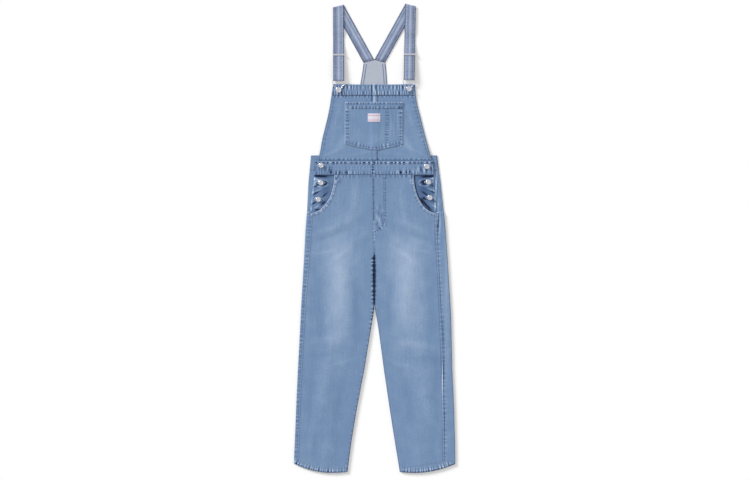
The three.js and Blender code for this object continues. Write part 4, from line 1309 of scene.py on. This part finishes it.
@dataclass
class Metal:
    """Sliders, buckles and shank buttons, each with its CAD form and finer rims."""

    pieces: dict[str, bpy.types.Object] = field(default_factory=dict)

    def build(self) -> None:
        """Makes every metal piece."""
        for side in Hand:
            for kind in ("slider", "buckle"):
                self.rounded(f"{kind}_{side.word}")
            self.button(f"bib_button_{side.word}")
            for place in ("top", "middle", "low"):
                self.button(f"button_{side.word}_{place}")

    def rounded(self, node: str) -> None:
        """A bent or stamped piece: the CAD form with its sharp edges rounded."""
        mesh = cad_copy(node, node)
        sharp = [edge for edge in mesh.edges if edge.is_manifold and edge.calc_face_angle(0) > SHARP_ANGLE]
        bmesh.ops.bevel(
            mesh, geom=sharp, offset=EDGE_ROUND, segments=3, profile=0.5, affect="EDGES", material=-1)
        self.pieces[node] = finished(f"metal_{node}", mesh)

    def button(self, node: str) -> None:
        """A shank button: neck, domed cap with a rolled rim and a dished face."""
        low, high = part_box(node)
        centre = (low + high) / 2
        cap = (high.x - low.x) / 2
        height = high.z - low.z
        neck = height - 2.4 * MM
        profile = [
            (0, 0), (3.4 * MM, 0), (3.4 * MM, neck * 0.9), (cap - 1.0 * MM, neck),
            (cap - 0.4 * MM, neck + 0.3 * MM),
            (cap, neck + 0.9 * MM), (cap - 0.2 * MM, neck + 1.7 * MM), (cap - 0.9 * MM, neck + 2.25 * MM),
            (cap - 1.6 * MM, neck + 2.4 * MM), (cap - 2.3 * MM, neck + 2.2 * MM),
            (cap - 2.9 * MM, neck + 1.75 * MM),
            (cap * 0.45, neck + 1.9 * MM), (cap * 0.2, neck + 2.0 * MM), (0, neck + 2.02 * MM)]
        mesh = bmesh.new()
        points = [mesh.verts.new((centre.x + r, centre.y, low.z + z)) for r, z in profile]
        edges = [mesh.edges.new(pair) for pair in zip(points, points[1:])]
        bmesh.ops.spin(mesh, geom=points + edges, cent=(centre.x, centre.y, 0), axis=(0, 0, 1),
                angle=2 * math.pi,
                       steps=40, use_merge=True)
        bmesh.ops.remove_doubles(mesh, verts=mesh.verts, dist=MERGE)
        bmesh.ops.recalc_face_normals(mesh, faces=mesh.faces)
        self.pieces[node] = finished(f"metal_{node}", mesh)


def build_label() -> bpy.types.Object:
    """The small woven label on the pocket, left plain."""
    plan = NodePlan("pocket_label")
    panel = Panel("pocket_label", 1.2, 1.2, 0.6 * MM, POCKET_SEAMS, 0.8, 0.85, 1)
    piece = panel.grid(plan).shell("label_pocket_label")
    thicken(piece, panel.thickness)
    return piece


def aside(points: Sequence[tuple[float, float]], distance: float) -> tuple[tuple[float, float], ...]:
    """A line moved to its left by a distance, in the units of its points.

    Args:
        points: the line's points.
        distance: how far it is moved; negative moves it to the right.

    Returns:
        The moved points.
    """
    line = np.array(points, float)
    run = np.gradient(line, axis=0)
    run /= np.linalg.norm(run, axis=1)[:, None]
    moved = line + distance * np.stack([-run[:, 1], run[:, 0]], axis=1)
    return tuple((float(x), float(y)) for x, y in moved)


@dataclass(frozen=True)
class Row:
    """One line of topstitching, with its points in millimetres from the middle and from the hems."""

    points: tuple[tuple[float, float], ...]
    # Width of the dark strip painted under the stitches as the groove's shade, in millimetres
    groove: float = 1.5

    def path(self, pitch: float) -> np.ndarray:
        """Evenly spaced plan points along the line, in metres."""
        line = np.array(self.points, float)
        run = np.concatenate([[0], np.cumsum(np.linalg.norm(np.diff(line, axis=0), axis=1))])
        places = steps(0, run[-1], pitch)
        x, y = (np.interp(places, run, line[:, k]) for k in (0, 1))
        return np.stack([x * MM, up(y)], axis=1)


def outline(plan: NodePlan, hand: Hand, low: float, high: float, inset: float) -> tuple[tuple[float, float],
        ...]:
    """Points up one side of a node, moved inwards, in millimetres.

    Args:
        plan: the node.
        hand: which of its sides.
        low: lowest height above the hems.
        high: highest height above the hems.
        inset: distance in from the side.

    Returns:
        The line's points, from low to high.
    """
    points = []
    for y in steps(low, high, 12):
        x = hand.outer(plan.sides(up(y))) / MM - hand.value * inset
        points.append((x, y))
    return tuple(points)


def between(points: Sequence[tuple[float, float]], low: float, high: float) -> tuple[tuple[float, float],
        ...]:
    """The part of an upright line between two heights, with both its ends worked out."""
    x, y = np.array(points, float).T
    middle = tuple(point for point in points if low < point[1] < high)
    return ((float(np.interp(low, y, x)), low), *middle, (float(np.interp(high, y, x)), high))


def leg_rows() -> list[Row]:
    """Topstitching of the legs: outseams, inseams, hems, centre front, fly and pocket mouths."""
    rows = []
    for hand, mouth, seam, inseam in (
            (Hand.LEFT, LEFT_MOUTH, LEFT_OUTSEAM, LEFT_INSEAM),
            (Hand.RIGHT, RIGHT_MOUTH, RIGHT_OUTSEAM, RIGHT_INSEAM)):
        side = hand.value
        straight = between(seam, 33, 778)
        rows += [Row(aside(straight, side * offset)) for offset in (2.0, 8.2)]
        rows.append(Row(aside(tuple(point for point in inseam if point[1] < 600), -side * 5.0), 1.0))
        rows += [Row(mouth.line(inset)) for inset in (2.0, 8.4)]
    rows += [Row(aside(CENTRE_FRONT[1:], offset), 1.0) for offset in (2.2, -2.4)]
    rows += [Row(FLY_CURVE, 1.6), Row(aside(FLY_CURVE, -5.4), 1.2)]
    return rows


def hem_row(hand: Hand, hem: Hem, above: float) -> Row:
    """A line of stitching that follows a curved hem.

    Args:
        hand: which leg.
        hem: the hem's curve.
        above: height of the line above the hem, in millimetres.

    Returns:
        The line.
    """
    x = steps(hem.outer - hand.value * 4, hem.inner + hand.value * 3, 6)
    y = above + hem.rise(x * MM, np.full_like(x, up(above))) / MM
    return Row(tuple(zip(x.tolist(), y.tolist())), 1.2)


def upper_rows() -> list[Row]:
    """Topstitching of the waistband, bib, centre strip and back bib."""
    rows = []
    for hand in Hand:
        side = hand.value
        band = NodePlan(f"waistband_{hand.word}")
        for y, groove in ((931.2, 0.5), (926.8, 1.8), (911, 0.3), (895.0, 1.6)):
            low, high = (edge / MM for edge in band.sides(up(y)))
            rows.append(Row(((low + 1.8, y), (high - 1.8, y)), groove))
        bib = NodePlan(f"bib_{hand.word}")
        rows += [Row(outline(bib, hand, 938, 1129, inset)) for inset in (1.8, 8.6)]
        yoke = NodePlan("back_bib")
        rows += [Row(outline(yoke, hand, 1160, 1225, inset), 1.9) for inset in (1.8, 9.0)]
        rows.append(Row(outline(NodePlan("bib_hem"), hand, 1132, 1163, 2.0), 1.0))
        for y in (947.5, 941):
            rows.append(Row(((side * 188, y), (side * 150, y)), 1.0))
    for low, high in ((938, 964), (1113, 1130), (1133, 1164)):
        rows += [Row(((-6.6, low), (-6.6, high)), 2.0), Row(((6.4, low), (6.4, high)), 0.8)]
    rows += [Row(((-124, y), (119, y)), groove) for y, groove in ((1159.6, 1.4), (1135.4, 0.9))]
    return rows


def pocket_rows() -> list[Row]:
    """Topstitching of the bib pocket: sides and foot in two lines, hem, and pen slot."""
    rows = []
    for inset in (1.8, 8.8):
        left, right, low = -88.5 + inset, 85.5 - inset, 984 + 0.86 * inset
        foot = tuple((x, low - 18 * (1 - (abs(x - 0.5) / 87) ** 1.25)) for x in steps(left, right, 8))
        rows.append(Row(((left, 1109), *foot, (right, 1109)), 1.5))
    rows += [Row(((-86.5, y), (83.5, y)), 1.4) for y in (1104.6, POCKET_HEM_LINE - 1.2)]
    rows.append(Row(((PEN_X, 1092), (PEN_X, 984)), 1.6))
    return rows


def strap_rows(strap: Strap) -> list[Row]:
    """Topstitching of a strap: its front run up to the slanted fold, and its back run where it shows."""
    slant = math.tan(math.radians(strap.turn)) * strap.outward
    rows = []
    for offset, groove in ((-8.4, 1.2), (8.4, 1.2), (-13.6, 0.7), (13.6, 0.7)):
        heights = np.append(steps(strap.bar_y + 2, strap.fold_y - 8, 12), strap.fold_y - 2.5 + offset * slant)
        x = strap.middle(heights) * strap.outward + offset
        rows.append(Row(tuple(zip(x.tolist(), heights.tolist())), groove))
    run = np.array(strap.back_run())
    places = np.linspace(0, len(run) - 1, 161)
    for offset, groove in ((-12.8, 1.3), (-6.2, 1.0), (7.4, 1.0), (12.8, 1.3)):
        column = int(np.argmin(np.abs(strap.across - offset)))
        x, y = (np.interp(places, np.arange(len(run)), run[:, axis, column]) for axis in (0, 1))
        clear = (x > strap.middle(y) + strap.width / 2 + 0.6) & (places > 0.3)
        rows.append(Row(tuple(zip((x[clear] * strap.outward).tolist(), y[clear].tolist())), groove))
    return rows


def buttonhole(node: str) -> Row:
    """A worked buttonhole round one side button, lying across the garment."""
    low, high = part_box(node)
    x, y = (low.x + high.x) / 2 / MM, ((low.y + high.y) / 2 - HEM_LINE) / MM
    return Row(arc(x, y, 12.4, 3.8, 0, 360), 2.4)


def bars() -> list[Row]:
    """Short bars of close stitches at the fly, the pocket mouths, the bib pocket and the bib's hem."""
    return [
        Row(((-3, 723), (4, 727)), 1.6), Row(((30.5, 742), (30.5, 751)), 1.6),
        Row(((-205, 778), (-192, 781)), 1.8),
        Row(((184, 778), (196, 781)), 1.8), Row(((-88, 1108), (-80, 1108)), 1.6),
        Row(((77, 1108), (85, 1108)), 1.6),
        Row(((-3, 1133), (4, 1133)), 1.8), Row(((30, 1094), (38, 1094)), 1.4),
        Row(((-3, 960), (3, 960)), 1.4)]


class Sewing:
    """Joins lines of topstitching into one piece: a dark strip of painted groove shade with stitches along it.
    """

    def __init__(self, pieces: Iterable[bpy.types.Object]) -> None:
        """Builds ray trees of the cloth that the stitches lie on.

        Args:
            pieces: the cloth pieces.
        """
        graph = bpy.context.evaluated_depsgraph_get()
        self.trees = [BVHTree.FromObject(piece, graph) for piece in pieces]

    def level(self, x: float, y: float) -> float | None:
        """Height of the topmost cloth at a plan point, or None beside it."""
        hits = [tree.ray_cast(Vector((x, y, HIGH)), Vector((0, 0, -1)))[0] for tree in self.trees]
        heights = [hit.z for hit in hits if hit]
        return max(heights) if heights else None

    def lines(self, name: str, rows: Iterable[Row], pitch: float = 1.7) -> bpy.types.Object:
        """Makes a mesh of open lines laid on the cloth.

        Args:
            name: name of the object.
            rows: the lines.
            pitch: distance between their points, in millimetres.

        Returns:
            The object, with the width of each point's painted groove shade as an attribute.
        """
        mesh = bmesh.new()
        width = mesh.verts.layers.float.new("groove")
        for row in rows:
            last = None
            for x, y in row.path(pitch):
                z = self.level(x, y)
                if z is None:
                    last = None
                    continue
                vert = mesh.verts.new((x, y, z))
                vert[width] = row.groove * MM
                if last and abs(z - last.co.z) < STEP:
                    mesh.edges.new((last, vert))
                last = vert
        return finished(name, mesh)


@dataclass(frozen=True)
class Stitch:
    """Size of one stitch and the space between two, in millimetres."""

    length: float = 3.3
    thread: float = 0.8
    pitch: float = 4.5
    depth: float = 0.24

    def tree(self, name: str, groove: bpy.types.Material, thread: bpy.types.Material) -> bpy.types.NodeTree:
        """Node tree that turns lines into a dark strip, painted shade of the pressed groove, and a row of
        stitches.

        Args:
            name: name of the tree.
            groove: finish of the dark strip painted as the groove's shade.
            thread: finish of the stitches.

        Returns:
            The tree, for a nodes modifier.
        """
        tree = bpy.data.node_groups.new(name, "GeometryNodeTree")
        tree.interface.new_socket("Geometry", in_out="INPUT", socket_type="NodeSocketGeometry")
        tree.interface.new_socket("Geometry", in_out="OUTPUT", socket_type="NodeSocketGeometry")
        lines = add_node(tree, "NodeGroupInput").outputs[0]
        curve = add_node(tree, "GeometryNodeMeshToCurve", {"Mesh": lines}).outputs[0]
        level = add_node(tree, "GeometryNodeSetCurveNormal", {"Curve": curve}, mode="Z_UP").outputs[0]
        width = add_node(tree, "GeometryNodeInputNamedAttribute", {"Name": "groove"},
                data_type="FLOAT").outputs[0]
        share = add_node(tree, "ShaderNodeMath", {0: width, 1: 1 / MM}, operation="MULTIPLY").outputs[0]
        # A dark strip along each line: painted shade of the groove that the stitches press in
        profile = add_node(tree, "GeometryNodeCurvePrimitiveQuadrilateral", {
            "Width": 1.0 * MM, "Height": self.depth * MM}).outputs[0]
        strip = add_node(tree, "GeometryNodeCurveToMesh",
                {"Curve": level, "Profile Curve": profile, "Fill Caps": True})
        if "Scale" in strip.inputs:
            tree.links.new(share, strip.inputs["Scale"])
        shade_strip = add_node(tree, "GeometryNodeSetMaterial", {
            "Geometry": strip.outputs[0], "Material": groove}).outputs[0]
        even = add_node(tree, "GeometryNodeResampleCurve", {"Curve": curve, "Length": self.pitch * MM},
                mode="LENGTH")
        ball = add_node(tree, "GeometryNodeMeshUVSphere",
                {"Segments": 6, "Rings": 4, "Radius": 0.5 * MM}).outputs[0]
        tangent = add_node(tree, "GeometryNodeInputTangent").outputs[0]
        turn = add_node(tree, "FunctionNodeAlignRotationToVector", {"Vector": tangent}, axis="X").outputs[0]
        rows = add_node(tree, "GeometryNodeInstanceOnPoints", {
            "Points": even.outputs[0], "Instance": ball, "Rotation": turn,
            "Scale": (self.length, self.thread, self.thread)}).outputs[0]
        real = add_node(tree, "GeometryNodeRealizeInstances", {"Geometry": rows}).outputs[0]
        sewn = add_node(tree, "GeometryNodeSetMaterial", {"Geometry": real, "Material": thread}).outputs[0]
        both = add_node(tree, "GeometryNodeJoinGeometry").inputs[0]
        tree.links.new(shade_strip, both)
        tree.links.new(sewn, both)
        out = add_node(tree, "NodeGroupOutput")
        tree.links.new(both.node.outputs[0], out.inputs[0])
        return tree


EYE_HEIGHT = 3.125
LENS = 50.0
SENSOR = 36.0
KEY_FROM = (-0.75, 0.62, 0.3)
KEY_SPREAD = 14.0
KEY_POWER = 3.7
SKY_POWER = 0.7


def stage_and_light(floor_finish: bpy.types.Material) -> None:
    """Pale floor, soft light from the upper left, and a camera straight above.

    Args:
        floor_finish: the floor's material.
    """
    mesh = bmesh.new()
    bmesh.ops.create_grid(mesh, x_segments=1, y_segments=1, size=3.0)
    floor = finished("studio_floor", mesh)
    floor.data.materials.append(floor_finish)
    floor.location.z = 0.0
    lamp = bpy.data.lights.new("key", "SUN")
    lamp.angle = math.radians(KEY_SPREAD)
    lamp.energy = KEY_POWER
    key = bpy.data.objects.new("key", lamp)
    key.rotation_euler = Vector(KEY_FROM).to_track_quat("Z", "Y").to_euler()
    bpy.context.scene.collection.objects.link(key)
    world = bpy.data.worlds.new("studio")
    world.use_nodes = True
    world.node_tree.nodes["Background"].inputs["Color"].default_value = linear("#ffffff")
    world.node_tree.nodes["Background"].inputs["Strength"].default_value = SKY_POWER
    bpy.context.scene.world = world
    bpy.context.scene.view_settings.view_transform = "Standard"
    camera = bpy.data.objects.new("camera", bpy.data.cameras.new("camera"))
    camera.data.lens = LENS
    camera.data.sensor_width = SENSOR
    camera.location = (0.0014, -0.0056, EYE_HEIGHT)
    bpy.context.scene.collection.objects.link(camera)
    bpy.context.scene.camera = camera


WASHED = Denim("washed_twill", "#16233f", "#435b82", "#718caf", "#c6d6ea", 0.1, 0.15)
REVERSE = Denim("twill_reverse", "#4a5568", "#868fa1", "#aeb5c3", "#d2d7e0", 0.14, 0.16)
WEBBING = Denim("strap_twill", "#2f3a58", "#5f6a88", "#909cb7", "#bfc8dc", 0.16, 0.16)
NICKEL = Nickel("polished_nickel", "#dcdee8", 0.26)
TAPE = Tape("woven_tape", "#d3d2e0", "#d3a0a8", 1051.2, 1076.4)
THREAD = Plain("cotton_thread", "#8ea5c6", "#c3d0e3", 1500.0, 0.7)
# Dark strip under the stitching: painted shade of the pressed groove
GROOVE_SHADE = Plain("pressed_groove", "#3d547c", "#577096", 700.0, 0.95)
FLOOR = Plain("pale_studio_floor", "#f9f9f9", "#fcfcfc", 2.0, 0.9)


@dataclass(frozen=True)
class Cut:
    """Flat cut of what shows of a cloth piece, in metres, and what it lies on."""

    width: float
    length: float
    area: float
    under: tuple[str, ...]


# Heights of the two lines of stitching above each hem, in millimetres
HEM_STITCHING = (1.6, 12.0)


def declare(piece: bpy.types.Object, node: str, finish: bpy.types.Material) -> None:
    """Gives a piece its finish, rides it on the frame, hides the node it stands for and logs its face count."""
    piece.data.materials.clear()
    piece.data.materials.append(finish)
    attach(piece, "root")
    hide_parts(node)
    log.info("%s: %d faces", piece.name, len(piece.data.polygons))


def main() -> None:
    """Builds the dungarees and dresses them."""
    logging.basicConfig(level=logging.INFO, format="%(message)s")
    washed, reverse, webbing, nickel, tape = (f.build() for f in (WASHED, REVERSE, WEBBING, NICKEL, TAPE))
    for leg in (Leg(Hand.LEFT, LEFT_MOUTH, LEFT_HEM, touch=-0.9, facing_shade=0.12),
                Leg(Hand.RIGHT, RIGHT_MOUTH, RIGHT_HEM, touch=-0.6, facing_shade=0.2)):
        leg.build()
        for word, piece in leg.pieces.items():
            declare(piece, f"{word}_{leg.hand.word}", washed)
    upper = Upper()
    upper.build()
    for node, piece in upper.pieces.items():
        inside = node == "back_bib"
        declare(piece, node, reverse if inside else washed)
        if inside or node in ("bib_left", "bib_right"):
            piece.data.materials.append(washed if inside else reverse)
            piece.modifiers[0].material_offset = 1
    straps = (Strap(Hand.LEFT, -108.2, 1399.4, 1252.5, -107.7, 1146.9),
              Strap(Hand.RIGHT, 107.7, 1402.2, 1254, 103.5, 1150.2))
    for strap in straps:
        piece = strap.build()
        declare(piece, f"strap_{strap.hand.word}", webbing)
    metal = Metal()
    metal.build()
    for node, piece in metal.pieces.items():
        declare(piece, node, nickel)
    label = build_label()
    declare(label, "pocket_label", tape)
    cloth = [piece for piece in bpy.data.objects if piece.name.startswith(("cloth_", "label_"))]
    bpy.context.view_layer.update()
    sewing = Sewing(cloth)
    thread, groove = THREAD.build(), GROOVE_SHADE.build()
    tree = Stitch().tree("topstitching", groove, thread)
    hems = [hem_row(hand, hem, above) for hand, hem in ((Hand.LEFT, LEFT_HEM), (Hand.RIGHT, RIGHT_HEM))
            for above in HEM_STITCHING]
    worked = Stitch(1.5, 2.7, 1.25, 0.3).tree("worked_edges", groove, thread)
    holes = [buttonhole(f"button_{hand.word}_{place}") for hand in Hand for place in ("top", "middle", "low")]
    for name, rows, sewing_tree in (
            ("stitches_legs", leg_rows() + hems, tree), ("stitches_upper", upper_rows(), tree),
            ("stitches_pocket", pocket_rows(), tree),
            ("stitches_straps", [row for strap in straps for row in strap_rows(strap)], tree),
            ("buttonholes_and_bars", holes + bars(), worked)):
        sewn = sewing.lines(name, rows)
        sewn.modifiers.new("thread", "NODES").node_group = sewing_tree
        sewn.data.materials.append(groove)
        sewn.data.materials.append(thread)
        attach(sewn, "root")
    stage_and_light(FLOOR.build())


if __name__ == "__main__":
    main()
